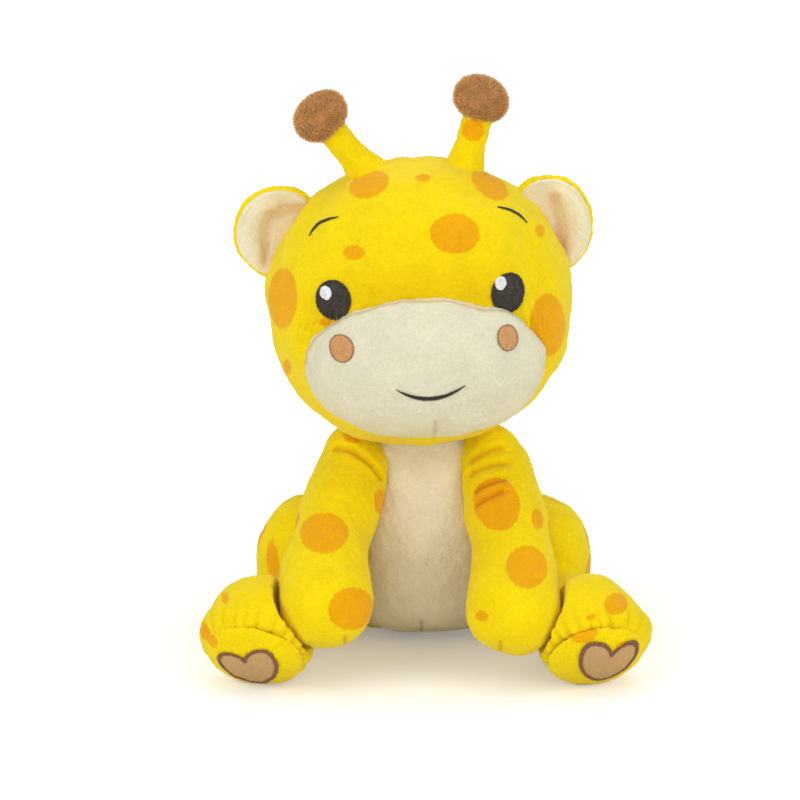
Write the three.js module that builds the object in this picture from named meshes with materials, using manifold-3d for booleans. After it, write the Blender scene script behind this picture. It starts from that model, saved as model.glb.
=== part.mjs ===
// Sitting plush giraffe, as an assembly of its sewn and stuffed pieces.
// Millimetres, +Z up, the toy faces -Y, so its own left side is +X.
// The origin is on the floor, under the middle of the seat.
import * as THREE from "three";
import { mergeVertices } from "three/addons/utils/BufferGeometryUtils.js";
import Module from "manifold-3d";

const wasm = await Module();
wasm.setup();

// Clearances and facets
const seamGap = 0.3; // between two pieces that are sewn together
const swingGap = 0.45; // between two pieces that move against each other
const pressGap = 0.75; // between an arm and the leg and foot that it presses as either swings
const neckGap = 0.9; // round the neck's ball, whose facets turn against those of its pocket
const floorFlat = 0.5; // how deep the soft seat and feet are flattened by the floor
const overrun = 60; // how far a cutting shape runs past what it cuts
const coarse = { around: 16, along: 10 };
const fine = { around: 28, along: 16 };
const neckFacets = { around: 22, along: 12 };
const pearFacets = { around: 26, along: 16 };
const outlineFacets = 9; // to each curve of a cut-out outline

// Torso: a pear with a ball for a neck, on which the head sits
const torso = {
  seatHalfWidth: 45,
  seatHalfDepth: 43,
  height: 110,
  hipHalfWidth: 38, // the haunches press the sides flat here
  neckRadius: 27,
  neckHeight: 114,
  neckBack: 4,
};
const torsoProfileShares = [
  [0, 0],
  [0.64, 0.01],
  [0.9, 0.085],
  [1, 0.26],
  [0.97, 0.44],
  [0.86, 0.62],
  [0.73, 0.76],
  [0.58, 0.88],
  [0.32, 0.97],
  [0, 1],
];
const belly = { halfWidth: 25, bottom: 3, top: 97, corner: 12, thick: 1.2 };
const pellets = { halfWidth: 25, halfDepth: 23, halfHeight: 11, height: 20, slit: 0.6, slitHeight: 14 };

// Head: a ball that is a little wider than tall, leaning to the toy's right and turned to its left
const head = {
  halfWidth: 79,
  halfDepth: 70,
  halfHeight: 75,
  forward: 15, // of the middle, from the neck's middle
  rise: 64,
  leanDeg: -3,
  turnDeg: 3,
  fullness: 2.06,
};
const muzzle = {
  halfWidth: 60,
  halfDepth: 48,
  halfHeight: 40,
  forward: 38,
  drop: 16,
  offset: 1,
  fullness: 2.3,
};

// Embroidery: raised thread, and the places of its middle on the face, from the head's middle
const thread = { thick: 1, glint: 0.8 };
const eye = { halfWidth: 8.6, halfHeight: 10.2, offset: 43.5, up: 15, squintDeg: 4 };
const glint = { halfWidth: 2.9, halfHeight: 3.4, offset: -4, up: 4 };
const brow = { span: 17, rise: 3.6, thick: 2, offset: 47, up: 49, tiltDeg: 34 };
const nostril = { halfWidth: 5.8, halfHeight: 7, offset: 41, up: -4, tiltDeg: 14 };
const mouth = { span: 34, rise: -5.4, thick: 2.8, up: -27 };

// Ears: a flattened ball hollowed from the front, with a lining in the hollow
const ear = {
  halfWidth: 23,
  halfHeight: 23,
  halfThick: 8.5,
  beyond: 1, // of the ear's middle past the head's side, measured from the head's middle
  upDeg: 29.5,
  back: 4,
  wall: 3,
  hollowDepth: 7,
  lining: 1.4,
  hingeIn: 4, // of the ear's hinge, short of the head's side
};

// Ossicones: tapered stalks with a flattened ball on top, each with a lean of its own
const ossicone = {
  baseRadius: 9.8,
  topRadius: 7.2,
  length: 47.5,
  tipHalfWidth: 15.2,
  tipHalfHeight: 12.8,
  footIn: 9, // how far the stalk's lower ball lies under the head's surface
};
const ossicones = {
  right: { offset: -25, leanDeg: -33 },
  left: { offset: 27, leanDeg: 16.5 },
};

// Arms: from a ball at the shoulder, through the upper arm, to the paw
const arm = {
  shoulderOffset: 36,
  shoulderForward: 15,
  shoulderDrop: 25, // below the neck's middle
  shoulderRadius: 21,
  upperRadius: 21.5,
  pawRadius: 24.5,
  pawHalfDepthShare: 0.94,
};
const paws = {
  right: { offset: -50, forward: 89, height: 43.5, bow: 4 },
  left: { offset: 44, forward: 88, height: 39.5, bow: 4 },
};

// Legs: a haunch at the hip, a shin, and a foot with a sole
const haunch = { halfWidth: 29, halfDepth: 33, halfHeight: 36, offset: 60, forward: 0, fullness: 2.15 };
const shin = { radius: 21, forward: 52, offset: 72, height: 20 };
const foot = {
  halfWidth: 28.5,
  halfHeight: 26,
  halfLength: 30,
  offset: 82,
  forward: 88,
  splayDeg: 14,
  soleDownDeg: 36,
  soleOut: 13, // of the sole's seam plane, from the foot's middle
  soleCrown: 11,
  fullness: 2.15,
};
const heart = { halfWidth: 16.5, halfHeight: 13.5, thick: 1.4, down: 1.5 };
const heartShares = { lobeAcross: 0.5, bulge: 1.15, notchAcross: 0.1, notchUp: 0.55 };

// Tail: a thin stuffed cord of plush with a tuft
const tail = { radius: 4.6, rootHeight: 30, rootBack: 36, endBack: 66, endHeight: 12, sag: 5 };
const tuft = { radius: 9.5, halfLength: 15 };

// Joint travel, in degrees
const nod = { axis: new THREE.Vector3(-1, 0, 0), low: -10, high: 10 };
const armSwing = { axis: new THREE.Vector3(-1, 0, 0), low: 0, high: 40 };
const armSteps = 12; // poses of an arm's swing that its neighbours are cleared for
const legSwing = { axis: new THREE.Vector3(-1, 0, 0), low: -30, high: 0 };
const legSteps = 9; // poses of a leg's swing that it is cleared for
const flop = { low: -18, high: 18 };
const wag = { axis: new THREE.Vector3(0, 0, 1), low: -25, high: 25 };

// Colours of the cloths and threads
const cloth = (color, roughness = 0.95) =>
  new THREE.MeshStandardMaterial({ color, roughness, metalness: 0 });
const yellowPlush = cloth(0xf7dc14);
const creamPlush = cloth(0xede3c8);
const brownPlush = cloth(0xa8743f);
const tanFelt = cloth(0xb98e62, 0.85);
const darkThread = cloth(0x3e3229, 0.6);
const whiteThread = cloth(0xe6e9ea, 0.6);
const pelletCloth = cloth(0xe8e4da, 0.9);

// Solids: a closed geometry becomes a manifold, and a manifold becomes a geometry again
function solidOf(geometry) {
  const bare = new THREE.BufferGeometry();
  bare.setAttribute("position", geometry.getAttribute("position"));
  if (geometry.index) bare.setIndex(geometry.index);
  const merged = mergeVertices(bare, 1e-3);
  const triVerts = new Uint32Array(merged.index.array);
  const solid = new wasm.Manifold(
    new wasm.Mesh({ numProp: 3, vertProperties: merged.attributes.position.array, triVerts }),
  );
  if (solid.volume() > 0) return solid;
  for (let i = 0; i < triVerts.length; i += 3) {
    [triVerts[i + 1], triVerts[i + 2]] = [triVerts[i + 2], triVerts[i + 1]];
  }
  return new wasm.Manifold(
    new wasm.Mesh({ numProp: 3, vertProperties: merged.attributes.position.array, triVerts }),
  );
}

function geometryOf(solid) {
  const mesh = solid.getMesh();
  const geometry = new THREE.BufferGeometry();
  geometry.setAttribute("position", new THREE.BufferAttribute(new Float32Array(mesh.vertProperties), 3));
  geometry.setIndex(new THREE.BufferAttribute(new Uint32Array(mesh.triVerts), 1));
  const flat = geometry.toNonIndexed();
  flat.computeVertexNormals();
  return flat;
}

const placed = (solid, matrix) => solid.transform(matrix.elements);
const moved = (solid, x, y, z) => placed(solid, new THREE.Matrix4().makeTranslation(x, y, z));
const radians = THREE.MathUtils.degToRad;

// The matrix that turns about an axis through a pivot
function turnAbout(pivot, axis, degrees) {
  const there = new THREE.Matrix4().makeTranslation(pivot.x, pivot.y, pivot.z);
  const turn = new THREE.Matrix4().makeRotationAxis(axis.clone().normalize(), radians(degrees));
  const back = new THREE.Matrix4().makeTranslation(-pivot.x, -pivot.y, -pivot.z);
  return there.multiply(turn).multiply(back);
}

// What is left of a moving piece when its still neighbours have pressed it through its whole travel
function clearedThrough(solid, neighbours, pivot, axis, travel, steps) {
  let left = solid;
  for (let i = 0; i <= steps; i += 1) {
    const degrees = travel.low + ((travel.high - travel.low) * i) / steps;
    const turn = turnAbout(pivot, axis, -degrees);
    for (const neighbour of neighbours) left = left.subtract(placed(neighbour, turn));
  }
  return left;
}

// The largest body of a solid, without crumbs that a cut has left
function largest(solid) {
  return solid.decompose().sort((a, b) => b.volume() - a.volume())[0];
}

// Forms: a stuffed ball, fuller than an ellipsoid when its fullness is over 2
function plump(rx, ry, rz, fullness = 2, facets = coarse) {
  const ball = new THREE.SphereGeometry(1, facets.around, facets.along);
  ball.rotateX(Math.PI / 2);
  const places = ball.getAttribute("position");
  const point = new THREE.Vector3();
  for (let i = 0; i < places.count; i += 1) {
    point.fromBufferAttribute(places, i).normalize();
    const { x, y, z } = point;
    const sum = Math.abs(x) ** fullness + Math.abs(y) ** fullness + Math.abs(z) ** fullness;
    const reach = sum ** (-1 / fullness);
    places.setXYZ(i, rx * x * reach, ry * y * reach, rz * z * reach);
  }
  return solidOf(ball);
}

// A stuffed limb: a round-ended tube about a middle line, whose radius swells and tapers
function limb(points, radii, { depthShare = 1, facets = 18, rings = 7, capRings = 4 } = {}) {
  const line = new THREE.CatmullRomCurve3(points);
  const radiusAt = (t) => {
    const along = t * (radii.length - 1);
    const first = Math.min(Math.floor(along), radii.length - 2);
    const mix = along - first;
    return radii[first] + (radii[first + 1] - radii[first]) * mix * mix * (3 - 2 * mix);
  };
  const sections = [];
  const addSection = (t, beyond, radius) => {
    const tangent = line.getTangentAt(t);
    const middle = line.getPointAt(t).addScaledVector(tangent, beyond);
    sections.push({ middle, tangent, radius });
  };
  for (let i = 0; i < capRings; i += 1) {
    const turn = (Math.PI / 2) * (i / capRings);
    addSection(0, -radii[0] * Math.cos(turn), radii[0] * Math.sin(turn));
  }
  for (let i = 0; i <= rings; i += 1) addSection(i / rings, 0, radiusAt(i / rings));
  const last = radii[radii.length - 1];
  for (let i = 1; i <= capRings; i += 1) {
    const turn = (Math.PI / 2) * (i / capRings);
    addSection(1, last * Math.sin(turn), last * Math.cos(turn));
  }
  const places = [];
  for (const { middle, tangent, radius } of sections) {
    const side = new THREE.Vector3(1, 0, 0).addScaledVector(tangent, -tangent.x).normalize();
    const front = new THREE.Vector3().crossVectors(tangent, side);
    for (let j = 0; j < facets; j += 1) {
      const turn = (2 * Math.PI * j) / facets;
      const place = middle.clone();
      place.addScaledVector(side, radius * Math.cos(turn));
      place.addScaledVector(front, radius * depthShare * Math.sin(turn));
      places.push(place.x, place.y, place.z);
    }
  }
  const faces = [];
  for (let i = 0; i < sections.length - 1; i += 1) {
    for (let j = 0; j < facets; j += 1) {
      const a = i * facets + j;
      const b = i * facets + ((j + 1) % facets);
      faces.push(a, b, b + facets, a, b + facets, a + facets);
    }
  }
  const geometry = new THREE.BufferGeometry();
  geometry.setAttribute("position", new THREE.Float32BufferAttribute(places, 3));
  geometry.setIndex(faces);
  return solidOf(withoutFlatFaces(geometry));
}

// The geometry with its shared vertices merged and the faces that a pole has collapsed left out
function withoutFlatFaces(geometry) {
  const merged = mergeVertices(geometry, 1e-3);
  const faces = [];
  for (let i = 0; i < merged.index.count; i += 3) {
    const [a, b, c] = merged.index.array.slice(i, i + 3);
    if (a !== b && b !== c && a !== c) faces.push(a, b, c);
  }
  merged.setIndex(faces);
  return merged;
}

// Everything above the floor
function aboveFloor(solid) {
  const size = 2 * (torso.height + head.rise + head.halfWidth);
  const slab = solidOf(new THREE.BoxGeometry(size, size, overrun));
  return solid.subtract(moved(slab, 0, 0, -overrun / 2));
}

// A flat outline, drawn in X and Z, run along Y through the front of a form
function throughFront(shape, depth) {
  const options = { depth, bevelEnabled: false, curveSegments: outlineFacets };
  const prism = new THREE.ExtrudeGeometry(shape, options);
  prism.rotateX(Math.PI / 2);
  return solidOf(prism);
}

function ovalShape(halfWidth, halfHeight) {
  return new THREE.Shape().absellipse(0, 0, halfWidth, halfHeight, 0, 2 * Math.PI, false, 0);
}

// A tapered arc of thread: two curves that meet at both ends
function arcShape(span, rise, thick) {
  const shape = new THREE.Shape();
  shape.moveTo(-span / 2, 0);
  shape.quadraticCurveTo(0, 2 * rise + thick, span / 2, 0);
  shape.quadraticCurveTo(0, 2 * rise - thick, -span / 2, 0);
  return shape;
}

function heartShape(halfWidth, halfHeight) {
  const { lobeAcross, bulge, notchAcross, notchUp } = heartShares;
  const notch = halfHeight * notchUp;
  const lobe = halfWidth * lobeAcross;
  const wide = halfWidth * bulge;
  const beside = halfWidth * notchAcross;
  const shape = new THREE.Shape();
  shape.moveTo(0, -halfHeight);
  shape.bezierCurveTo(halfWidth, -notch, wide, halfHeight, lobe, halfHeight);
  shape.quadraticCurveTo(beside, halfHeight, 0, notch);
  shape.quadraticCurveTo(-beside, halfHeight, -lobe, halfHeight);
  shape.bezierCurveTo(-wide, halfHeight, -halfWidth, -notch, 0, -halfHeight);
  return shape;
}

// The ball of the neck, on which the head sits
function neckBall(grow) {
  const neck = new THREE.SphereGeometry(torso.neckRadius + grow, neckFacets.around, neckFacets.along);
  neck.rotateX(Math.PI / 2);
  neck.translate(0, torso.neckBack, torso.neckHeight);
  return solidOf(neck);
}

// The torso's pear, grown on all sides by a clearance
function pearForm(grow) {
  const outline = torsoProfileShares.map(
    ([across, up]) => new THREE.Vector2(across * torso.seatHalfWidth, up * torso.height - floorFlat),
  );
  const points = new THREE.SplineCurve(outline).getPoints(pearFacets.along);
  for (const point of points) point.x = Math.max(point.x, 0);
  points[0].x = 0;
  points[points.length - 1].x = 0;
  const pear = new THREE.LatheGeometry(points, pearFacets.around);
  pear.rotateX(Math.PI / 2);
  const wide = (torso.seatHalfWidth + grow) / torso.seatHalfWidth;
  const deep = (torso.seatHalfDepth + grow) / torso.seatHalfWidth;
  const tall = (torso.height + 2 * grow) / torso.height;
  pear.scale(wide, deep, tall);
  pear.translate(0, 0, -grow);
  return solidOf(withoutFlatFaces(pear));
}

const torsoForm = (grow) => pearForm(grow).add(neckBall(grow));

const neckPivot = new THREE.Vector3(0, torso.neckBack, torso.neckHeight);
const headMiddle = new THREE.Vector3(0, torso.neckBack - head.forward, torso.neckHeight + head.rise);
const headPose = turnAbout(neckPivot, new THREE.Vector3(0, 1, 0), head.leanDeg).multiply(
  turnAbout(neckPivot, new THREE.Vector3(0, 0, 1), head.turnDeg),
);

// A piece that is drawn about the head's middle, carried to its place on the leaning head
function onHead(solid) {
  return placed(moved(solid, headMiddle.x, headMiddle.y, headMiddle.z), headPose);
}

function headForm(grow) {
  const { halfWidth, halfDepth, halfHeight, fullness } = head;
  return plump(halfWidth + grow, halfDepth + grow, halfHeight + grow, fullness, fine);
}

function muzzleForm(grow) {
  const { halfWidth, halfDepth, halfHeight, fullness } = muzzle;
  const form = plump(halfWidth + grow, halfDepth + grow, halfHeight + grow, fullness, fine);
  return moved(form, muzzle.offset, -muzzle.forward, -muzzle.drop);
}

// A raised piece that follows a form's surface inside an outline drawn in X and Z
function patch(form, shape, x, z, tiltDeg, thick, lift = seamGap) {
  const prism = throughFront(shape, head.halfDepth + muzzle.halfDepth);
  const tilt = new THREE.Matrix4().makeRotationY(radians(tiltDeg));
  const cutter = moved(placed(prism, tilt), x, 0, z);
  return largest(form(lift + thick).subtract(form(lift)).intersect(cutter));
}

// One side's sign: the toy's left is +X
const sides = { right: -1, left: 1 };

// Head pieces, drawn about the head's middle
function makeFace() {
  const pieces = { muzzle: largest(muzzleForm(0).subtract(headForm(seamGap))) };
  const eyeOutline = ovalShape(eye.halfWidth, eye.halfHeight);
  const glintOutline = ovalShape(glint.halfWidth, glint.halfHeight);
  const glintLift = 2 * seamGap + thread.thick;
  const browOutline = arcShape(brow.span, brow.rise, brow.thick);
  const nostrilOutline = ovalShape(nostril.halfWidth, nostril.halfHeight);
  for (const [name, sign] of Object.entries(sides)) {
    const eyeX = sign * eye.offset;
    const glintX = eyeX + glint.offset;
    const browX = sign * brow.offset;
    const nostrilX = muzzle.offset + sign * nostril.offset;
    const squint = sign * eye.squintDeg;
    const browTilt = sign * brow.tiltDeg;
    const nostrilTilt = -sign * nostril.tiltDeg;
    const eyePatch = patch(headForm, eyeOutline, eyeX, eye.up, squint, thread.thick);
    pieces[name + "_eye"] = largest(eyePatch.subtract(muzzleForm(seamGap)));
    pieces[name + "_eye_glint"] = patch(
      headForm, glintOutline, glintX, eye.up + glint.up, 0, thread.glint, glintLift,
    );
    pieces[name + "_brow"] = patch(headForm, browOutline, browX, brow.up, browTilt, thread.thick);
    pieces[name + "_nostril"] = patch(
      muzzleForm, nostrilOutline, nostrilX, nostril.up, nostrilTilt, thread.thick,
    );
  }
  const smile = arcShape(mouth.span, mouth.rise, mouth.thick);
  pieces.mouth = patch(muzzleForm, smile, muzzle.offset, mouth.up, 0, thread.thick);
  return pieces;
}

// An ear, drawn about its own middle with its hollow facing -Y
function makeEar() {
  const outer = plump(ear.halfWidth, ear.halfThick, ear.halfHeight);
  const hollow = (grow) => {
    const across = ear.halfWidth - ear.wall + grow;
    const up = ear.halfHeight - ear.wall + grow;
    return moved(plump(across, ear.hollowDepth + grow, up), 0, -ear.halfThick + ear.wall, 0);
  };
  const cover = largest(outer.subtract(hollow(seamGap)));
  const inside = hollow(0).subtract(hollow(-ear.lining));
  return { cover, lining: largest(inside.intersect(outer)) };
}

// Where an ear's middle and its hinge lie, from the head's middle
function earPlace(sign) {
  const outward = new THREE.Vector3(sign * Math.cos(radians(ear.upDeg)), 0, Math.sin(radians(ear.upDeg)));
  return {
    middle: outward.clone().multiplyScalar(head.halfWidth + ear.beyond).setY(ear.back),
    hinge: outward.clone().multiplyScalar(head.halfWidth - ear.hingeIn).setY(ear.back),
    axis: new THREE.Vector3(-outward.z, 0, outward.x).multiplyScalar(sign),
  };
}

// Where an ossicone's stalk starts and ends, from the head's middle
function ossiconePlace({ offset, leanDeg }) {
  const height = head.halfHeight * Math.sqrt(1 - (offset / head.halfWidth) ** 2);
  const lean = radians(leanDeg);
  const up = new THREE.Vector3(Math.sin(lean), 0, Math.cos(lean));
  const root = new THREE.Vector3(offset, 0, height);
  return {
    root,
    start: root.clone().addScaledVector(up, -ossicone.footIn),
    end: root.clone().addScaledVector(up, ossicone.length - ossicone.tipHalfHeight),
    leanDeg,
  };
}

function makeOssicone(place) {
  const { start, end, leanDeg } = place;
  const line = [start, start.clone().lerp(end, 0.5), end];
  const radii = [ossicone.baseRadius, ossicone.topRadius, ossicone.topRadius];
  const stalk = limb(line, radii, { facets: 14, rings: 4, capRings: 3 });
  const tip = (grow) => {
    const across = ossicone.tipHalfWidth + grow;
    const ball = plump(across, across, ossicone.tipHalfHeight + grow);
    const tilted = placed(ball, new THREE.Matrix4().makeRotationY(radians(leanDeg)));
    return moved(tilted, end.x, end.y, end.z);
  };
  return { stalk: largest(stalk.subtract(tip(seamGap))), tip: tip(0) };
}

// Where an arm's shoulder ball has its middle
function shoulderOf(name) {
  return new THREE.Vector3(
    sides[name] * arm.shoulderOffset,
    -arm.shoulderForward,
    torso.neckHeight - arm.shoulderDrop,
  );
}

// An arm, in the toy's frame
function armForm(name, grow) {
  const paw = paws[name];
  const shoulder = shoulderOf(name);
  const end = new THREE.Vector3(paw.offset, -paw.forward, paw.height);
  const middle = shoulder.clone().lerp(end, 0.5);
  middle.x += sides[name] * paw.bow;
  const radii = [arm.shoulderRadius + grow, arm.upperRadius + grow, arm.pawRadius + grow];
  return limb([shoulder, middle, end], radii, { depthShare: arm.pawHalfDepthShare });
}

// A foot is drawn about its middle with the sole facing +Z, then turned forward, down and out
function footMatrix(sign) {
  const down = radians(foot.soleDownDeg);
  const lowest = Math.hypot(foot.halfLength * Math.sin(down), foot.halfHeight * Math.cos(down));
  const matrix = new THREE.Matrix4();
  matrix.makeTranslation(sign * foot.offset, -foot.forward, lowest - floorFlat);
  matrix.multiply(new THREE.Matrix4().makeRotationZ(radians(sign * foot.splayDeg)));
  return matrix.multiply(new THREE.Matrix4().makeRotationX(Math.PI / 2 + down));
}

function footBall(grow) {
  return plump(foot.halfWidth + grow, foot.halfHeight + grow, foot.halfLength + grow, foot.fullness);
}

function makeFoot(sign) {
  const across = Math.sqrt(1 - (foot.soleOut / foot.halfLength) ** 2);
  const size = 4 * foot.halfLength;
  const beyond = (out) => moved(solidOf(new THREE.BoxGeometry(size, size, size)), 0, 0, size / 2 + out);
  const crown = (grow) => {
    const wide = foot.halfWidth * across + grow;
    const tall = foot.halfHeight * across + grow;
    const dome = plump(wide, tall, foot.soleCrown + grow);
    return moved(dome, 0, 0, foot.soleOut).intersect(beyond(foot.soleOut + seamGap));
  };
  const outline = new THREE.ExtrudeGeometry(heartShape(heart.halfWidth, heart.halfHeight), {
    depth: size,
    bevelEnabled: false,
    curveSegments: outlineFacets,
  });
  outline.translate(0, -heart.down, 0);
  const badge = crown(seamGap + heart.thick).subtract(crown(seamGap)).intersect(solidOf(outline));
  const matrix = footMatrix(sign);
  return {
    body: aboveFloor(placed(footBall(0).subtract(beyond(foot.soleOut)), matrix)),
    sole: aboveFloor(placed(crown(0), matrix)),
    badge: aboveFloor(placed(largest(badge), matrix)),
  };
}

// The hip's middle, on the plane where haunch and torso press flat against each other
function hipOf(sign) {
  return new THREE.Vector3(sign * torso.hipHalfWidth, -haunch.forward, haunch.halfHeight);
}

// A leg's upper piece: the haunch and the shin that runs from it into the foot
function legForm(sign) {
  const thigh = plump(haunch.halfWidth, haunch.halfDepth, haunch.halfHeight, haunch.fullness);
  const height = haunch.halfHeight - floorFlat;
  const hip = new THREE.Vector3(sign * haunch.offset, -haunch.forward, shin.height);
  const knee = new THREE.Vector3(sign * shin.offset, -shin.forward, shin.height);
  const ankle = new THREE.Vector3(sign * foot.offset, -foot.forward, shin.height);
  const calf = limb([hip, knee, ankle], [shin.radius, shin.radius, shin.radius], { rings: 4 });
  return aboveFloor(moved(thigh, sign * haunch.offset, -haunch.forward, height).add(calf));
}

// Everything that lies between the two hip planes, grown by a clearance
function betweenHips(grow) {
  const size = 4 * torso.height;
  return solidOf(new THREE.BoxGeometry(2 * (torso.hipHalfWidth + grow), size, size));
}

// The belly panel's outline: straight sides, with the top corners rounded towards the neck
function panelShape() {
  const { halfWidth, bottom, top, corner } = belly;
  const shape = new THREE.Shape();
  shape.moveTo(-halfWidth, bottom);
  shape.lineTo(halfWidth, bottom);
  shape.lineTo(halfWidth, top - corner);
  shape.quadraticCurveTo(halfWidth, top, halfWidth - corner, top);
  shape.lineTo(corner - halfWidth, top);
  shape.quadraticCurveTo(-halfWidth, top, -halfWidth, top - corner);
  return shape;
}

// The tail's middle line, from inside the torso's back to the tuft
function tailLine() {
  const start = new THREE.Vector3(0, tail.rootBack, tail.rootHeight);
  const end = new THREE.Vector3(0, tail.endBack, tail.endHeight);
  const middle = start.clone().lerp(end, 0.5);
  middle.z -= tail.sag;
  return [start, middle, end];
}

// The assembly: one group for each body that moves by itself, with its origin at its joint
const giraffe = new THREE.Group();
giraffe.name = "plush_giraffe";

function bodyGroup(name, parent, pivot, hinge) {
  const group = new THREE.Group();
  group.name = name + "_body";
  group.position.copy(pivot);
  if (parent.parent) group.position.sub(parent.getWorldPosition(new THREE.Vector3()));
  group.userData = { pivot: pivot.toArray(), hinge };
  parent.add(group);
  return group;
}

function addPiece(group, name, solid, material) {
  const { x, y, z } = group.getWorldPosition(new THREE.Vector3());
  const mesh = new THREE.Mesh(geometryOf(moved(largest(solid), -x, -y, -z)), material);
  mesh.name = name;
  group.add(mesh);
}

const hingeOf = (axis, travel) => ({ axis: axis.toArray(), low: travel.low, high: travel.high });

// Torso, pressed flat at the hips, with the pellet bag in its seat and the slit that it went in by
function bagForm(grow) {
  const { halfWidth, halfDepth, halfHeight, height } = pellets;
  return moved(plump(halfWidth + grow, halfDepth + grow, halfHeight + grow), 0, 0, height);
}
const slit = new THREE.BoxGeometry(pellets.slit, 2 * torso.seatHalfDepth, pellets.slitHeight);
slit.translate(0, torso.seatHalfDepth, pellets.height);
const torsoCover = aboveFloor(torsoForm(0)).intersect(betweenHips(0));
const panelReach = pearForm(seamGap + belly.thick);
const panelCutter = throughFront(panelShape(), 2 * torso.seatHalfDepth);
const panelSolid = panelReach.subtract(torsoForm(seamGap)).intersect(panelCutter);
const torsoGroup = bodyGroup("torso", giraffe, new THREE.Vector3());
addPiece(torsoGroup, "torso", torsoCover.subtract(bagForm(seamGap)).subtract(solidOf(slit)), yellowPlush);
addPiece(torsoGroup, "pellet_bag", bagForm(0), pelletCloth);
addPiece(torsoGroup, "belly_panel", aboveFloor(panelSolid), creamPlush);

// Arms, pressed by the torso and its panel through their whole swing
const torsoNear = torsoForm(seamGap + belly.thick + swingGap);
const arms = {};
for (const name of Object.keys(sides)) {
  const pivot = shoulderOf(name);
  const group = bodyGroup(name + "_arm", torsoGroup, pivot, hingeOf(armSwing.axis, armSwing));
  const solid = largest(clearedThrough(armForm(name, 0), [torsoNear], pivot, armSwing.axis, armSwing, 5));
  addPiece(group, name + "_arm", solid, yellowPlush);
  const grown = armForm(name, pressGap);
  const swept = [];
  for (let i = 0; i <= armSteps; i += 1) {
    const degrees = armSwing.low + ((armSwing.high - armSwing.low) * i) / armSteps;
    swept.push(placed(grown, turnAbout(pivot, armSwing.axis, degrees)));
  }
  arms[name] = { grown, swept };
}

// Legs, each with its foot: outside the hip plane, and pressed by the arm above it
for (const [name, sign] of Object.entries(sides)) {
  const pivot = hipOf(sign);
  const group = bodyGroup(name + "_leg", torsoGroup, pivot, hingeOf(legSwing.axis, legSwing));
  const pressed = (solid) => {
    let left = clearedThrough(solid, [arms[name].grown], pivot, legSwing.axis, legSwing, legSteps);
    for (const place of arms[name].swept) left = left.subtract(place);
    return left.subtract(betweenHips(swingGap));
  };
  const { body, sole, badge } = makeFoot(sign);
  const leg = legForm(sign).subtract(placed(footBall(seamGap), footMatrix(sign)));
  addPiece(group, name + "_leg", pressed(leg), yellowPlush);
  addPiece(group, name + "_foot", pressed(body), yellowPlush);
  addPiece(group, name + "_sole", pressed(sole), yellowPlush);
  addPiece(group, name + "_heart", badge, tanFelt);
}

// Tail
const tailPivot = new THREE.Vector3(0, torso.seatHalfDepth, tail.rootHeight);
const tailGroup = bodyGroup("tail", torsoGroup, tailPivot, hingeOf(wag.axis, wag));
const [tailStart, tailMiddle, tailEnd] = tailLine();
const tailFall = Math.atan2(tailMiddle.z - tailEnd.z, tailEnd.y - tailMiddle.y);
const tuftLean = new THREE.Matrix4().makeRotationX(Math.PI / 2 + tailFall);
function tuftForm(grow) {
  const across = tuft.radius + grow;
  const ball = plump(across, across, tuft.halfLength + grow);
  return moved(placed(ball, tuftLean), tailEnd.x, tailEnd.y, tailEnd.z);
}
const tailRadii = [tail.radius, tail.radius, tail.radius];
const tailFacets = { facets: 12, rings: 5, capRings: 2 };
const tailCord = limb([tailStart, tailMiddle, tailEnd], tailRadii, tailFacets);
const tailCut = clearedThrough(tailCord, [torsoForm(swingGap)], tailPivot, wag.axis, wag, 4);
addPiece(tailGroup, "tail", tailCut.subtract(tuftForm(seamGap)), yellowPlush);
addPiece(tailGroup, "tail_tuft", aboveFloor(tuftForm(0)), brownPlush);

// Head, hollowed underneath for the neck's ball and cleared of the torso and arms through its nod
const headGroup = bodyGroup("head", torsoGroup, neckPivot, hingeOf(nod.axis, nod));
const below = [pearForm(belly.thick + swingGap), arms.left.grown, arms.right.grown];
const aboveNeck = (solid) =>
  clearedThrough(solid.subtract(neckBall(neckGap)), below, neckPivot, nod.axis, nod, 4);
addPiece(headGroup, "head", aboveNeck(onHead(headForm(0))), yellowPlush);
const faceMaterials = {
  muzzle: creamPlush,
  eye: darkThread,
  eye_glint: whiteThread,
  brow: darkThread,
  nostril: tanFelt,
  mouth: darkThread,
};
for (const [name, solid] of Object.entries(makeFace())) {
  const kind = name.replace("right_", "").replace("left_", "");
  const piece = kind === "muzzle" ? aboveNeck(onHead(solid)) : onHead(solid);
  addPiece(headGroup, name, piece, faceMaterials[kind]);
}

// Ears and ossicones, pressed by the head through their flop
const turnOnly = new THREE.Matrix4().extractRotation(headPose);
for (const [name, sign] of Object.entries(sides)) {
  const place = earPlace(sign);
  const { cover, lining } = makeEar();
  const set = (solid) => moved(solid, place.middle.x, place.middle.y, place.middle.z);
  const clear = (solid) =>
    onHead(clearedThrough(set(solid), [headForm(swingGap)], place.hinge, place.axis, flop, 4));
  const pivot = place.hinge.clone().add(headMiddle).applyMatrix4(headPose);
  const axis = place.axis.clone().applyMatrix4(turnOnly);
  const group = bodyGroup(name + "_ear", headGroup, pivot, hingeOf(axis, flop));
  addPiece(group, name + "_ear", clear(cover), yellowPlush);
  addPiece(group, name + "_ear_lining", clear(lining), creamPlush);
}
for (const name of Object.keys(sides)) {
  const place = ossiconePlace(ossicones[name]);
  const { stalk, tip } = makeOssicone(place);
  const bend = new THREE.Vector3(0, 1, 0);
  const cut = clearedThrough(stalk, [headForm(swingGap)], place.root, bend, flop, 4);
  const pivot = place.root.clone().add(headMiddle).applyMatrix4(headPose);
  const group = bodyGroup(name + "_ossicone", headGroup, pivot, hingeOf(bend.applyMatrix4(turnOnly), flop));
  addPiece(group, name + "_ossicone", onHead(cut), yellowPlush);
  addPiece(group, name + "_ossicone_tip", onHead(tip), brownPlush);
}

export default giraffe;
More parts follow.
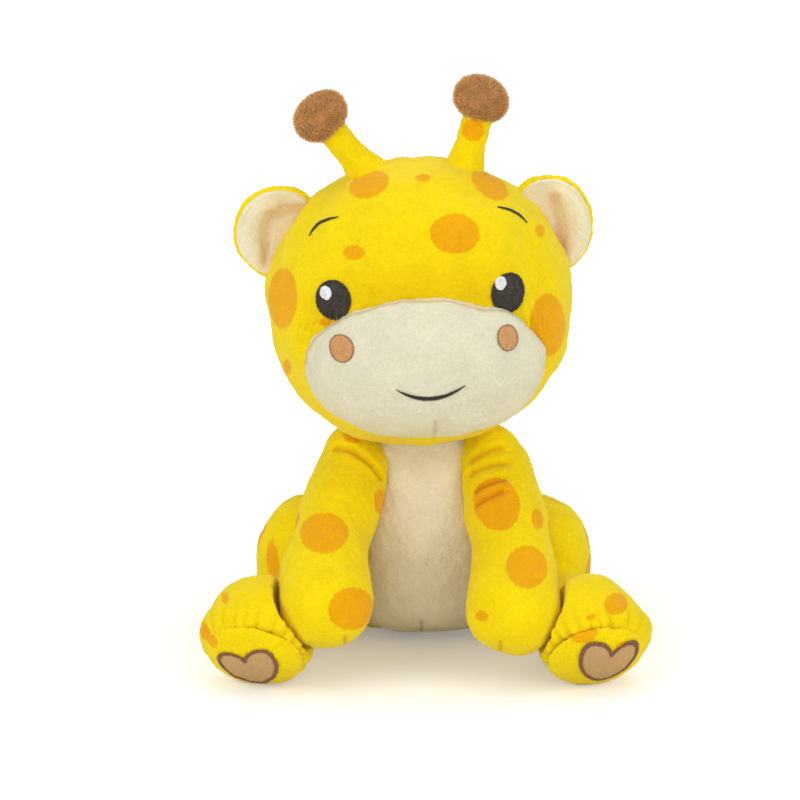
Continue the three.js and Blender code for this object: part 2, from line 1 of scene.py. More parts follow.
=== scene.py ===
# %% [markdown]
# # A sitting plush giraffe
#
# The real toy is a set of bags. Each bag is sewn from short-pile plush, turned the right way out
# and stuffed with polyester fibre, and the bags are sewn to each other: a round head with a cream
# muzzle, a pear-shaped body, arms, legs with gathered feet, cupped ears and two short horns, which
# a giraffe keeper calls ossicones. The eyes, brows, nostrils and mouth are machine embroidery.
#
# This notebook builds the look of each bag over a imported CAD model, which says where everything
# is and how it moves. Everything is in the CAD frame: +Z is up, the toy faces -Y, and its own
# left side is +X. Sizes are typed in millimetres and turned to metres where a mesh is made.

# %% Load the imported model
import math
from functools import partial

import bmesh
import bpy
import numpy as np
from mathutils import Matrix, Vector
from mathutils.bvhtree import BVHTree


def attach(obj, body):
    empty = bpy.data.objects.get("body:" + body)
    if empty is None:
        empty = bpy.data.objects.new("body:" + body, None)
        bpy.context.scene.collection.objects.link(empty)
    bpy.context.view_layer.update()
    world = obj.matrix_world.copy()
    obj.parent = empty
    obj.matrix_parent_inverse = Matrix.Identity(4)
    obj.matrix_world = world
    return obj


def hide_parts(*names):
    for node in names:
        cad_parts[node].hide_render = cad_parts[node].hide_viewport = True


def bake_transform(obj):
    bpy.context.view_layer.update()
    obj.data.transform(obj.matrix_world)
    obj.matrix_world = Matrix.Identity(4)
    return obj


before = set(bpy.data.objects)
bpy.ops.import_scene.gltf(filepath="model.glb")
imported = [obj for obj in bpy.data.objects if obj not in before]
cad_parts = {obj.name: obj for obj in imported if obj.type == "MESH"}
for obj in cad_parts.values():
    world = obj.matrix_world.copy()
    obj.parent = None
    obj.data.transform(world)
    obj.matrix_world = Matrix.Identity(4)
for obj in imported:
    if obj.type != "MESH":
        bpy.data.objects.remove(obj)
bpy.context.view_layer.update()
MM = 0.001

# %% [markdown]
# ## Camera
#
# A photograph of a toy on a table is mostly taken from a little above it. Here the lens looks
# down by 15 degrees from about 1.6 m. The same numbers also answer a second question: which point
# of a piece does a given pixel of the photograph show? The printed spots are placed that way, by
# casting a ray through their pixel onto the finished piece.

# %% The camera
PIXELS = 800
EYE_DISTANCE, EYE_DROP_DEG = 1600, 15
MM_PER_PIXEL = 0.52
LOOK_AT = Vector((-12.5, 0, 123.2))
SENSOR = 36

drop = math.radians(EYE_DROP_DEG)
view_forward = Vector((0, math.cos(drop), -math.sin(drop)))
view_right = Vector((1, 0, 0))
view_up = Vector((0, math.sin(drop), math.cos(drop)))
eye_point = LOOK_AT - view_forward * EYE_DISTANCE

camera = bpy.data.objects.new("camera", bpy.data.cameras.new("camera"))
bpy.context.scene.collection.objects.link(camera)
camera.location = eye_point * MM
camera.rotation_euler = (math.pi / 2 - drop, 0, 0)
camera.data.sensor_width = SENSOR
camera.data.lens = SENSOR * EYE_DISTANCE / (PIXELS * MM_PER_PIXEL)
camera.data.clip_end = 20
bpy.context.scene.camera = camera


def pixel_ray(px, py):
    """The direction from the lens through a pixel of the photograph."""
    across = (px - PIXELS / 2) * MM_PER_PIXEL
    up = (PIXELS / 2 - py) * MM_PER_PIXEL
    return (view_forward * EYE_DISTANCE + view_right * across + view_up * up).normalized()


def seen_at(tree, px, py):
    """The point that a pixel shows on a piece, in millimetres, and the surface's normal there."""
    place, normal, _, _ = tree.ray_cast(eye_point, pixel_ray(px, py))
    if place is None:  # the pixel lies just beside the piece: its nearest point then
        place, normal, _, _ = tree.find_nearest(eye_point + pixel_ray(px, py) * (EYE_DISTANCE - 50))
    return place, normal


print("lens in millimetres:", round(camera.data.lens, 1))

# %% [markdown]
# ## Studio
#
# Toy photographs are lit with large soft boxes from both sides, which wrap round the pile and
# make the edges of the plush glow. The floor and the backdrop are white. To keep the lamps at a
# level where a colour renders as it is written, the white comes from what the camera sees of the
# floor and the world, and not from more light.

# %% Lamps, world and floor
scene = bpy.context.scene
scene.view_settings.view_transform = "Standard"
WHITE = (1, 1, 1, 1)


def linear(code):
    """An sRGB hex colour as the linear numbers that a shader takes."""
    values = [int(code[i : i + 2], 16) / 255 for i in (1, 3, 5)]
    curve = [v / 12.92 if v <= 0.04045 else ((v + 0.055) / 1.055) ** 2.4 for v in values]
    return (*curve, 1.0)


def add_node(tree, kind, links=None, inputs=None, **settings):
    """Adds a node to a tree, with its settings, the values of its inputs, and links into it."""
    node = tree.nodes.new(kind)
    for name, value in settings.items():
        setattr(node, name, value)
    for name, value in (inputs or {}).items():
        node.inputs[name].default_value = value
    for name, source in (links or {}).items():
        tree.links.new(source, node.inputs[name])
    return node


def shader_nodes(owner):
    """Empties the node tree of a world or a material and gives the function that adds to it."""
    owner.use_nodes = True
    owner.node_tree.nodes.clear()
    return partial(add_node, owner.node_tree)


def linked(name, data):
    """A new object in the scene, with the given mesh or lamp."""
    thing = bpy.data.objects.new(name, data)
    scene.collection.objects.link(thing)
    return thing


AIM_HEIGHT = 0.15  # metres: the lamps look at the toy's middle
SOFT_BOXES = [  # name, place, width and height in metres, watts
    ("soft_box_left", (-1.3, -0.9, 0.9), (1.0, 1.2), 10.2),
    ("soft_box_right", (1.3, -0.8, 0.8), (1.0, 1.2), 8.4),
    ("soft_box_top", (0.0, 0.1, 1.5), (1.4, 1.2), 6.1),
    ("soft_box_front", (0.0, -1.7, 0.3), (0.9, 0.5), 4.2),
    ("soft_box_back", (0.1, 1.4, 0.8), (1.2, 0.8), 5),
]
for name, place, size, watts in SOFT_BOXES:
    lamp = bpy.data.lights.new(name, "AREA")
    lamp.shape = "RECTANGLE"
    lamp.size, lamp.size_y = size
    lamp.energy = watts
    holder = linked(name, lamp)
    holder.location = place
    aim = Vector((0, 0, AIM_HEIGHT)) - Vector(place)
    holder.rotation_euler = aim.to_track_quat("-Z", "Y").to_euler()

WORLD_LIGHT = 0.4  # what the white room adds to the lamps, as a share of what the camera sees of it
scene.world = bpy.data.worlds.new("white_studio")
add = shader_nodes(scene.world)
path = add("ShaderNodeLightPath")
lit = add("ShaderNodeBackground", inputs={"Color": WHITE, "Strength": WORLD_LIGHT})
seen = add("ShaderNodeBackground", inputs={"Color": WHITE, "Strength": 1.0})
mixed = add("ShaderNodeMixShader",
            {0: path.outputs["Is Camera Ray"], 1: lit.outputs[0], 2: seen.outputs[0]})
add("ShaderNodeOutputWorld", {"Surface": mixed.outputs[0]})

# The paper's own glow, which the camera alone sees. It is little near the toy and rises away from
# it, so the toy's real shadow shows, and the fade itself paints a darker shadow round the toy
GLOW_NEAR, GLOW_FAR, GLOW_REACH = 0.2, 1.0, 0.5
floor_mesh = bpy.data.meshes.new("floor")
floor_mesh.from_pydata([(-3, -3, 0), (3, -3, 0), (3, 3, 0), (-3, 3, 0)], [], [(0, 1, 2, 3)])
floor = linked("floor", floor_mesh)
paper = bpy.data.materials.new("white_backdrop_paper")
add = shader_nodes(paper)
path = add("ShaderNodeLightPath")
matt = add("ShaderNodeBsdfDiffuse", inputs={"Color": linear("#F1EFEA")})
place = add("ShaderNodeTexCoord").outputs["Object"]
away = add("ShaderNodeVectorMath", {0: place}, operation="LENGTH")
fade = add("ShaderNodeMapRange", {"Value": away.outputs["Value"]},
           {"From Min": 0.0, "From Max": GLOW_REACH, "To Min": GLOW_NEAR, "To Max": GLOW_FAR},
           interpolation_type="SMOOTHSTEP")
glow = add("ShaderNodeEmission", {"Strength": fade.outputs[0]}, {"Color": WHITE})
faint = add("ShaderNodeAddShader", {0: matt.outputs[0], 1: glow.outputs[0]})
mixed = add("ShaderNodeMixShader",
            {0: path.outputs["Is Camera Ray"], 1: matt.outputs[0], 2: faint.outputs[0]})
add("ShaderNodeOutputMaterial", {"Surface": mixed.outputs[0]})
floor.data.materials.append(paper)

# %% [markdown]
# ## Plush
#
# The cloth is a warp-knitted polyester plush with a pile about 2 mm long. The pile hides the knit
# completely. What the eye gets from it is a matt colour with a fine mottle, where tufts of pile
# lean this way and that, slightly darker seams, pressed in as grooves and with painted shade in
# their colour, and a pale bloom at grazing angles, which Blender's sheen gives.
#
# The orange spots are printed on the pile before the cloth is cut. Each point of a yellow piece
# carries its distance to the nearest spot's edge, in millimetres, as the attribute spot_mm. The
# shader adds a little noise to that distance before it decides, so that an edge wanders by half
# a millimetre, as the tufts make it do. The attribute seam says how deep in a seam, fold or hollow
# a point lies, and the shader darkens the colour there by it, as painted shade.

# %% What all shaders share
def noise(add, size_mm, detail, **more):
    """Noise over the piece, with patches of about a size."""
    place = add("ShaderNodeTexCoord").outputs["Object"]
    settings = {"Scale": 1 / (size_mm * MM), "Detail": detail, **more}
    return add("ShaderNodeTexNoise", {"Vector": place}, settings).outputs[0]


def between(add, noisy, low, high):
    """Noise lies mostly between 0.3 and 0.7. This makes it a factor from low to high."""
    settings = {"From Min": 0.3, "From Max": 0.7, "To Min": low, "To Max": high}
    return add("ShaderNodeMapRange", {"Value": noisy}, settings).outputs[0]


def scaled(add, colour, factor):
    """A colour made lighter or darker from point to point."""
    settings = {0: linear(colour)[:3]}
    return add("ShaderNodeVectorMath", {"Scale": factor}, settings, operation="SCALE").outputs[0]


def surface(add, colour, relief=None, **settings):
    """Ends a material with its colour, a relief as (height, strength, metres), and its finish."""
    links = {"Base Color": colour}
    if relief:
        height, strength, metres = relief
        bump = add("ShaderNodeBump", {"Height": height}, {"Strength": strength, "Distance": metres})
        links["Normal"] = bump.outputs[0]
    finish = {name.replace("_", " "): value for name, value in settings.items()}
    shader = add("ShaderNodeBsdfPrincipled", links, finish)
    add("ShaderNodeOutputMaterial", {"Surface": shader.outputs[0]})


# %% The shader of all plushes
PILE_TUFT_MM = 1.5  # tufts of pile that lean together
PILE_NAP_MM = 14  # patches that a hand has brushed one way
PILE_FIBRE_MM = 0.7
# The colour of the painted shade in seams, folds and hollows: what is left of red, green and
# blue where light passes through much dyed pile
SEAM_SHADE_TINT = (0.84, 0.66, 0.5, 1)
SPOT_WANDER_MM, SPOT_BLUR_MM = 1.8, 0.6  # how far a spot's edge wanders, and how soft it is


def plush(name, colour, spot=None, bloom=0.35, bump=0.5):
    """Short-pile plush, dyed through, with printed spots if it has a second colour, and painted
    shade where the attribute seam is set.
    """
    material = bpy.data.materials.new(name)
    add = shader_nodes(material)
    tufts = noise(add, PILE_TUFT_MM, 3.0, Roughness=0.65)
    base, dye = linear(colour), {}
    if spot:
        distance = add("ShaderNodeAttribute", attribute_name="spot_mm")
        wander = add("ShaderNodeMath", {0: tufts}, {1: 0.5}, operation="SUBTRACT")
        edge = add("ShaderNodeMath", {0: wander.outputs[0], 2: distance.outputs["Fac"]},
                   {1: SPOT_WANDER_MM}, operation="MULTIPLY_ADD")
        inside = add("ShaderNodeMapRange", {"Value": edge.outputs[0]},
                     {"From Min": SPOT_BLUR_MM, "From Max": -SPOT_BLUR_MM},
                     interpolation_type="SMOOTHSTEP")
        printed = add("ShaderNodeMix", {0: inside.outputs[0]}, {6: base, 7: linear(spot)},
                      data_type="RGBA")
        dye = {0: printed.outputs[2]}
    # Painted shade: the colour darkens by the attribute seam, in seams, folds and hollows
    seam = add("ShaderNodeAttribute", attribute_name="seam")
    seam_shade = add("ShaderNodeMix", {0: seam.outputs["Fac"]}, {6: WHITE, 7: SEAM_SHADE_TINT},
                  data_type="RGBA")
    tone = between(add, tufts, 0.92, 1.05)
    nap_tone_and_shade = between(add, noise(add, PILE_NAP_MM, 2.0), 0.955, 1.035)
    shade = add("ShaderNodeMath", {0: tone, 1: nap_tone_and_shade}, operation="MULTIPLY")
    darker = add("ShaderNodeVectorMath", {0: seam_shade.outputs[2], "Scale": shade.outputs[0]},
                 operation="SCALE")
    shaded = add("ShaderNodeVectorMath", {1: darker.outputs[0], **dye}, {0: base[:3]},
                 operation="MULTIPLY")
    surface(add, shaded.outputs[0], (noise(add, PILE_FIBRE_MM, 2.0), bump, 0.0006), Roughness=0.92,
            Specular_IOR_Level=0.15, Sheen_Weight=bloom, Sheen_Roughness=0.45,
            Sheen_Tint=(1.0, 0.93, 0.45, 1.0))
    return material


yellow_plush = plush("yellow_printed_minky_plush", "#F8DC00", spot="#F3AE00", bloom=0.3)
cream_plush = plush("cream_minky_plush", "#E9DDC2")
ivory_plush = plush("ivory_minky_plush", "#E4DFC4")
lining_plush = plush("pale_minky_plush", "#F3EBD0")
print("plushes:", yellow_plush.name, cream_plush.name, ivory_plush.name, lining_plush.name)

# %% [markdown]
# ## How a stuffed piece is made here
#
# A stuffed bag can't be drawn well face by face, and a sculpted ball has no cloth in it. The way
# chosen is the one the factory takes, in five steps. First come plain closed forms, as big as the
# pattern pieces. Second, the forms that press into the piece are cut out of it. Third, a voxel
# remesh sews all of it to one even skin and rounds what a cut left sharp. Fourth, Blender's Cloth
# inflates the skin a little against its seams, as stuffing does. Fifth, the fine things are
# pressed in point by point: seams, gathers, lumps of filling and the nap of the pile.

# %% Closed forms
def tube_faces(rows, around):
    """The faces between a pole, rows of points round an axis, and the other pole."""
    faces, last = [], rows * around + 1
    for j in range(around):
        k = (j + 1) % around
        faces += [(0, 1 + j, 1 + k), (last, last - around + k, last - around + j)]
        for a in range(1, last - around, around):
            faces.append((a + j, a + around + j, a + around + k, a + k))
    return faces


def sphere_grid(around, along):
    """Directions on a sphere with poles on Z, and the faces between them."""
    turns = np.linspace(0, 2 * np.pi, around, endpoint=False)
    tilts = np.linspace(0, np.pi, along + 1)[1:-1]
    ring = [np.stack([np.sin(t) * np.cos(turns), np.sin(t) * np.sin(turns),
                      np.full(around, np.cos(t))], 1)
            for t in tilts]
    points = np.concatenate([[[0, 0, 1.0]], *ring, [[0, 0, -1.0]]])
    return points, tube_faces(len(tilts), around)


def plump(radii, middle=(0, 0, 0), fullness=2.0, around=72, along=40):
    """A stuffed ball, fuller than an ellipsoid when its fullness is over 2."""
    points, faces = sphere_grid(around, along)
    reach = (np.abs(points) ** fullness).sum(1) ** (-1 / fullness)
    return points * reach[:, None] * np.array(radii) + np.array(middle), faces


def curve_through(start, middle, end, count):
    """Points evenly spread on the parabola through three points, and its directions there."""
    start, middle, end = (np.array(p, float) for p in (start, middle, end))
    t = np.linspace(0, 1, 200)[:, None]
    line = start * (1 - t) * (1 - 2 * t) + middle * 4 * t * (1 - t) + end * t * (2 * t - 1)
    along = np.concatenate([[0], np.cumsum(np.linalg.norm(np.diff(line, axis=0), axis=1))])
    at = np.linspace(0, along[-1], count)
    even = np.stack([np.interp(at, along, line[:, k]) for k in range(3)], 1)
    ahead = np.gradient(even, axis=0)
    return even, ahead / np.linalg.norm(ahead, axis=1)[:, None]


def limb(points, radii, depth_share=1.0, around=48, rings=36, cap=10):
    """A stuffed limb: a round-ended tube about a middle line, whose radius swells and tapers."""
    line, ahead = curve_through(*points, rings + 1)
    knots = np.linspace(0, 1, len(radii))
    share = np.linspace(0, 1, rings + 1)
    first = np.clip(np.searchsorted(knots, share, side="right") - 1, 0, len(radii) - 2)
    mix = share * (len(radii) - 1) - first
    mix = mix * mix * (3 - 2 * mix)
    radius = np.array(radii)[first] * (1 - mix) + np.array(radii)[first + 1] * mix
    turn = np.linspace(0, np.pi / 2, cap, endpoint=False)[1:]
    sections = [(line[0] - ahead[0] * radii[0] * np.cos(a), ahead[0],
                 radii[0] * np.sin(a)) for a in turn]
    sections += list(zip(line, ahead, radius))
    sections += [(line[-1] + ahead[-1] * radii[-1] * np.sin(a), ahead[-1],
                  radii[-1] * np.cos(a)) for a in turn]
    spin = np.linspace(0, 2 * np.pi, around, endpoint=False)
    rows = []
    for place, direction, r in sections:
        side = np.array([1.0, 0, 0]) - direction * direction[0]
        side /= np.linalg.norm(side)
        front = np.cross(direction, side)
        out = np.outer(np.cos(spin), side) + depth_share * np.outer(np.sin(spin), front)
        rows.append(place + r * out)
    poles = [line[0] - ahead[0] * radii[0], line[-1] + ahead[-1] * radii[-1]]
    points = np.concatenate([[poles[0]], *rows, [poles[1]]])
    return points, [face[:1] + face[:0:-1] for face in tube_faces(len(rows), around)]


def block(low, high):
    """A plain box between two corners, to cut with."""
    points = np.array([[(low, high)[(i >> k) & 1][k] for k in range(3)] for i in range(8)], float)
    faces = [(0, 2, 3, 1), (4, 5, 7, 6), (0, 1, 5, 4), (2, 6, 7, 3), (0, 4, 6, 2), (1, 3, 7, 5)]
    return points, faces


def turned(form, matrix):
    """A form carried by a matrix whose lengths are millimetres."""
    points, faces = form
    m = np.array(matrix)
    return points @ m[:3, :3].T + m[:3, 3], faces


def turn_about(pivot, axis, degrees):
    pivot = Vector(pivot)
    spin = Matrix.Rotation(math.radians(degrees), 4, Vector(axis))
    return Matrix.Translation(pivot) @ spin @ Matrix.Translation(-pivot)


# %% Meshes: making, cutting, remeshing and reading them
def mesh_piece(name, *forms):
    """One object from closed forms, in metres, at the origin."""
    points, faces, start = [], [], 0
    for form_points, form_faces in forms:
        points.append(form_points)
        faces += [tuple(i + start for i in face) for face in form_faces]
        start += len(form_points)
    mesh = bpy.data.meshes.new(name)
    mesh.from_pydata((np.concatenate(points) * MM).tolist(), [], faces)
    mesh.update()
    return linked(name, mesh)


def settle(piece):
    """Turns the piece's modifiers into plain mesh."""
    depsgraph = bpy.context.evaluated_depsgraph_get()
    mesh = bpy.data.meshes.new_from_object(piece.evaluated_get(depsgraph))
    old = piece.data
    piece.modifiers.clear()
    piece.data = mesh
    mesh.name = piece.name
    bpy.data.meshes.remove(old)
    return piece


def remove(piece):
    mesh = piece.data
    bpy.data.objects.remove(piece)
    bpy.data.meshes.remove(mesh)


def shaped(piece, kind, **settings):
    """Runs one modifier on the piece and keeps its result."""
    mod = piece.modifiers.new(kind.lower(), kind)
    for name, value in settings.items():
        setattr(mod, name, value)
    return settle(piece)


def skinned(piece, voxel):
    """One even skin over everything in the piece, with voxels of that many millimetres."""
    return shaped(piece, "REMESH", mode="VOXEL", voxel_size=voxel * MM)


def smoothed(piece, steps):
    return shaped(piece, "SMOOTH", iterations=steps, factor=0.5)


def finer(piece, levels):
    return shaped(piece, "SUBSURF", levels=levels, render_levels=levels)


def cut(piece, *forms):
    """Cuts closed forms, or other pieces, out of a piece."""
    for form in forms:
        tool = mesh_piece("tool", form) if isinstance(form, tuple) else form
        shaped(piece, "BOOLEAN", operation="DIFFERENCE", solver="EXACT", object=tool)
        if isinstance(form, tuple):
            remove(tool)
    return piece


def points_of(piece):
    found = np.empty(len(piece.data.vertices) * 3, np.float32)
    piece.data.vertices.foreach_get("co", found)
    return found.reshape(-1, 3).astype(float) / MM


def points_from(piece, place):
    """The piece's points in the space of a place, which is a matrix that carries millimetres."""
    inverse = np.array(place.inverted())
    return points_of(piece) @ inverse[:3, :3].T + inverse[:3, 3]


def normals_of(piece):
    found = np.empty(len(piece.data.vertices) * 3, np.float32)
    piece.data.vertex_normals.foreach_get("vector", found)
    return found.reshape(-1, 3).astype(float)


def move_points(piece, points):
    piece.data.vertices.foreach_set("co", (points * MM).astype(np.float32).ravel())
    piece.data.update()


def on_floor(piece):
    """Flattens what sags below the floor, as the toy's weight does."""
    points = points_of(piece)
    points[:, 2] = np.maximum(points[:, 2], 0.2)
    move_points(piece, points)


def tree_of(piece):
    """A search tree of the piece's faces, in millimetres."""
    faces = [tuple(face.vertices) for face in piece.data.polygons]
    return BVHTree.FromPolygons(points_of(piece).tolist(), faces)


def keep_number(piece, name, values):
    """A number at each point of the mesh, for the shader or for Geometry Nodes to read."""
    attribute = piece.data.attributes.get(name) or piece.data.attributes.new(name, "FLOAT", "POINT")
    attribute.data.foreach_set("value", np.asarray(values, np.float32))


def kept_number(piece, name):
    """The numbers that keep_number stored, or noughts."""
    found = np.zeros(len(piece.data.vertices), np.float32)
    if name in piece.data.attributes:
        piece.data.attributes[name].data.foreach_get("value", found)
    return found


# %% Lumps and nap
def waves(seed, size, count=36):
    """A smooth random field with bumps of about a size in millimetres, the same each run."""
    chance = np.random.default_rng(seed)
    ways = chance.normal(size=(count, 3))
    often = 2 * np.pi / size * chance.uniform(0.6, 1.4, count)
    ways *= (often / np.linalg.norm(ways, axis=1))[:, None]
    starts = chance.uniform(0, 2 * np.pi, count)
    return lambda points: np.cos(points @ ways.T + starts).sum(1) / math.sqrt(count / 2)


LUMP, CLUMP, NAP = waves(3, 30), waves(5, 6.5), waves(7, 2.3)
LUMP_HIGH, NAP_HIGH = 0.5, 0.11  # how high, in millimetres, unless a piece says otherwise


def with_nap(piece, lump=LUMP_HIGH, nap=NAP_HIGH):
    """Lumps of filling, clumps of pile and its nap, as small moves along the surface's normal."""
    points = points_of(piece)
    pushed(piece, lump * LUMP(points) + nap * CLUMP(points) + nap * NAP(points))


def pushed(piece, by):
    """Moves each point along the surface's normal by its own number of millimetres."""
    move_points(piece, points_of(piece) + normals_of(piece) * by[:, None])


def pressed(piece, depth, width, distance):
    """Presses a groove into the piece where distance, in millimetres, is near zero, and paints
    shade into it through the attribute seam.
    """
    share = np.exp(-((distance / width) ** 2))
    pushed(piece, -(depth * share))
    keep_number(piece, "seam", np.maximum(kept_number(piece, "seam"), share))


# %% Inflating by cloth
PRESSURE, STUFFING_STEPS = 4.0, 20


def inflated(piece, cap, held):
    """Cloth with pressure inside swells the skin, as filling does, and no point moves past the cap.

    held gives each point's hold, which is 1 along a seam."""
    rest = points_of(piece)
    mod = piece.modifiers.new("stuffing", "CLOTH")
    cloth = mod.settings
    cloth.quality, cloth.mass = 6, 0.2
    cloth.use_pressure, cloth.uniform_pressure_force = True, PRESSURE
    cloth.tension_stiffness = cloth.compression_stiffness = 12
    cloth.shear_stiffness, cloth.bending_stiffness = 6, 0.4
    cloth.effector_weights.gravity = 0
    mod.collision_settings.use_collision = False
    group = piece.vertex_groups.new(name="held")
    for i in np.nonzero(held > 0.02)[0]:
        group.add([int(i)], float(held[i]), "REPLACE")
    cloth.vertex_group_mass = "held"
    mod.point_cache.frame_start, mod.point_cache.frame_end = 1, STUFFING_STEPS
    for number in range(1, STUFFING_STEPS + 1):
        scene.frame_set(number)
    settle(piece)
    scene.frame_set(1)
    piece.vertex_groups.clear()
    move = points_of(piece) - rest
    length = np.linalg.norm(move, axis=1)
    soft = cap * np.tanh(length / cap)
    move_points(piece, rest + move * (soft / np.maximum(length, 1e-9))[:, None])
    print(f"  {piece.name}: filling moved it by {length.mean():.2f} mm, {soft.max():.2f} at most")


# %% [markdown]
# ## Printed spots
#
# A spot is an ellipse in the view's plane. Its middle is the point that its pixel shows on the
# piece, and its width and height are pixels too. It reaches some way into the depth, so a spot
# near an edge runs round it. Spots on the far sides, which the photograph doesn't show, follow
# the same sizes and are placed by a direction from the piece's middle.

# %% Spots
def spot_distance(points, middle, ways, radii):
    """Distance in millimetres to the edge of a spot, negative inside it."""
    across, up, deep = ((points - np.array(middle)) @ np.array(way) for way in ways)
    flat = np.hypot(across / radii[0], up / radii[1])
    return np.maximum(flat - 1, np.abs(deep) / radii[2] - 1) * min(radii[:2])


def seen_spots(piece, places, depth=24):
    """Spots at pixels of the photograph: (x, y, width, height, tilt in degrees)."""
    tree, points = tree_of(piece), points_of(piece)
    nearest = np.full(len(points), 99.0)
    for px, py, width, height, tilt in places:
        middle, _ = seen_at(tree, px, py)
        near = (middle - eye_point).length / EYE_DISTANCE * MM_PER_PIXEL / 2
        a = math.radians(tilt)
        ways = (view_right * math.cos(a) + view_up * math.sin(a),
                view_up * math.cos(a) - view_right * math.sin(a), view_forward)
        far = spot_distance(points, middle, ways, (width * near, height * near, depth))
        nearest = np.minimum(nearest, far)
    return nearest


def unseen_spots(piece, middle, places, depth=16):
    """Spots on the far sides: (compass direction, height angle, half width, half height)."""
    tree, points = tree_of(piece), points_of(piece)
    nearest = np.full(len(points), 99.0)
    for compass, height, wide, tall in places:
        a, b = math.radians(compass), math.radians(height)
        out = Vector((math.sin(a) * math.cos(b), -math.cos(a) * math.cos(b), math.sin(b)))
        place, normal, _, _ = tree.ray_cast(Vector(middle), out)
        if place is None:
            continue
        side = normal.cross(Vector((0, 0, 1)))
        side = side.normalized() if side.length > 0.1 else Vector((1, 0, 0))
        far = spot_distance(points, place, (side, normal.cross(side), normal), (wide, tall, depth))
        nearest = np.minimum(nearest, far)
    return nearest


def finish_plush(piece, material, body, nodes, spots=None, bends=None):
    """Gives a stuffed piece its material, smooth shading and spots, attaches it to its body, and
    hides the parts that it replaces.

    bends is (parent body, start, end) for a piece that is sewn to the parent and bends between.
    Only whether it is given is read: such a piece keeps its place in the world, is attached to no
    body, and is not bent."""
    if spots is not None:
        keep_number(piece, "spot_mm", spots)
    keep_number(piece, "seam", kept_number(piece, "seam"))
    piece.data.materials.clear()
    piece.data.materials.append(material)
    piece.data.shade_smooth()
    if bends:
        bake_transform(piece)
    else:
        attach(piece, body)
    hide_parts(*nodes)
    print(f"  {piece.name}: {len(piece.data.vertices)} points, {len(piece.data.polygons)} faces")


def near_line(points, line):
    """How far points lie from a line of straight steps, in any number of dimensions."""
    near = np.full(len(points), 99.0)
    for a, b in zip(line, line[1:]):
        a, b = np.array(a, float), np.array(b, float)
        share = np.clip((points - a) @ (b - a) / ((b - a) @ (b - a)), 0, 1)
        near = np.minimum(near, np.linalg.norm(points - (a + share[:, None] * (b - a)), axis=1))
    return near


def without_crumbs(piece):
    """Keeps the piece's largest loose part only, because a cut can leave crumbs of skin."""
    mesh = bmesh.new()
    mesh.from_mesh(piece.data)
    left, parts = set(mesh.verts), []
    while left:
        part, front = set(), [left.pop()]
        while front:
            point = front.pop()
            part.add(point)
            near = {edge.other_vert(point) for edge in point.link_edges} & left
            left -= near
            front += near
        parts.append(part)
    parts.sort(key=len)
    for part in parts[:-1]:
        bmesh.ops.delete(mesh, geom=list(part), context="VERTS")
    mesh.to_mesh(piece.data)
    mesh.free()
    return piece


HOLD_REACH = 3.0  # millimetres from a neighbour within which the cloth is held


def stuffed(name, forms, cuts=(), tools=(), voxel=2.2, smooth=6, cap=1.6, levels=1):
    """The first four steps for one bag: join, cut, sew to one skin, inflate. Then it is made finer.

    tools are cut out too. Where they or the cuts press the bag, the cloth is held and stays put."""
    piece = skinned(mesh_piece(name, *forms), voxel)
    cut(piece, *tools, *cuts)
    piece = without_crumbs(smoothed(skinned(piece, voxel), smooth))
    points = points_of(piece)
    held = np.zeros(len(points))
    for tool in [*tools, *cuts]:
        made = mesh_piece("tool", tool) if isinstance(tool, tuple) else tool
        tree = tree_of(made)
        near = np.array([tree.find_nearest(p)[3] for p in points.tolist()])
        held = np.maximum(held, np.clip(1.6 - near / HOLD_REACH, 0, 1))
        if made is not tool:
            remove(made)
    inflated(piece, cap, held)
    return finer(piece, levels)


def swept(name, forms, pivot, axis, angles, voxel=1.8):
    """The room that forms need while they turn about a pivot, as one solid to cut with."""
    turns = [turn_about(pivot, axis, angle) for angle in angles]
    parts = [turned(form, turn) for turn in turns for form in forms]
    return skinned(mesh_piece(name, *parts), voxel)


# %% [markdown]
# ## Body
#
# The body is a pear of four gores with its seams at the front edges of the belly panel, at the
# sides and down the back, where the last 35 mm are closed by hand after stuffing. A ball of a
# neck stands on it and the head turns on that. The haunches press its sides flat, and the floor
# its seat. The pear is a turned profile whose points are shares of its height and width.

# %% Body: its forms
SEAT_HALF_WIDTH, SEAT_HALF_DEPTH, BODY_HEIGHT, HIP_HALF_WIDTH = 45, 43, 110, 38
NECK_RADIUS, NECK_HEIGHT, NECK_BACK = 27, 114, 4
BODY_PROFILE_SHARES = [
    (0, 0), (0.64, 0.01), (0.9, 0.085), (1, 0.26), (0.97, 0.44),
    (0.86, 0.62), (0.73, 0.76), (0.58, 0.88), (0.32, 0.97), (0, 1),
]
FLOOR = block((-300, -300, -60), (300, 300, 0.2))
NECK_PIVOT = Vector((0, NECK_BACK, NECK_HEIGHT))


def spline(points, count):
    """A smooth line through points, as a French curve would draw it."""
    p = np.array([points[0], *points, points[-1]], float)
    at = np.linspace(0, len(points) - 1, count)
    i = np.minimum(at.astype(int), len(points) - 2)
    t = (at - i)[:, None]
    a, b, c, d = p[i], p[i + 1], p[i + 2], p[i + 3]
    square, cube = (2 * a - 5 * b + 4 * c - d) * t**2, (3 * b - a - 3 * c + d) * t**3
    return 0.5 * (2 * b + (c - a) * t + square + cube)


def pear(grow=0.0, around=72, along=60):
    points, faces = sphere_grid(around, along)
    profile = spline(BODY_PROFILE_SHARES, along + 1)
    across = np.maximum(profile[::-1, 0], 0)
    up = profile[::-1, 1]
    ring = np.concatenate([[0], np.repeat(np.arange(1, along), around), [along]])
    spin = np.arctan2(points[:, 1], points[:, 0])
    out = np.stack([
        across[ring] * (SEAT_HALF_WIDTH + grow) * np.cos(spin),
        across[ring] * (SEAT_HALF_DEPTH + grow) * np.sin(spin),
        up[ring] * (BODY_HEIGHT + 2 * grow) - grow,
    ], 1)
    out[[0, -1], :2] = 0
    return out, faces


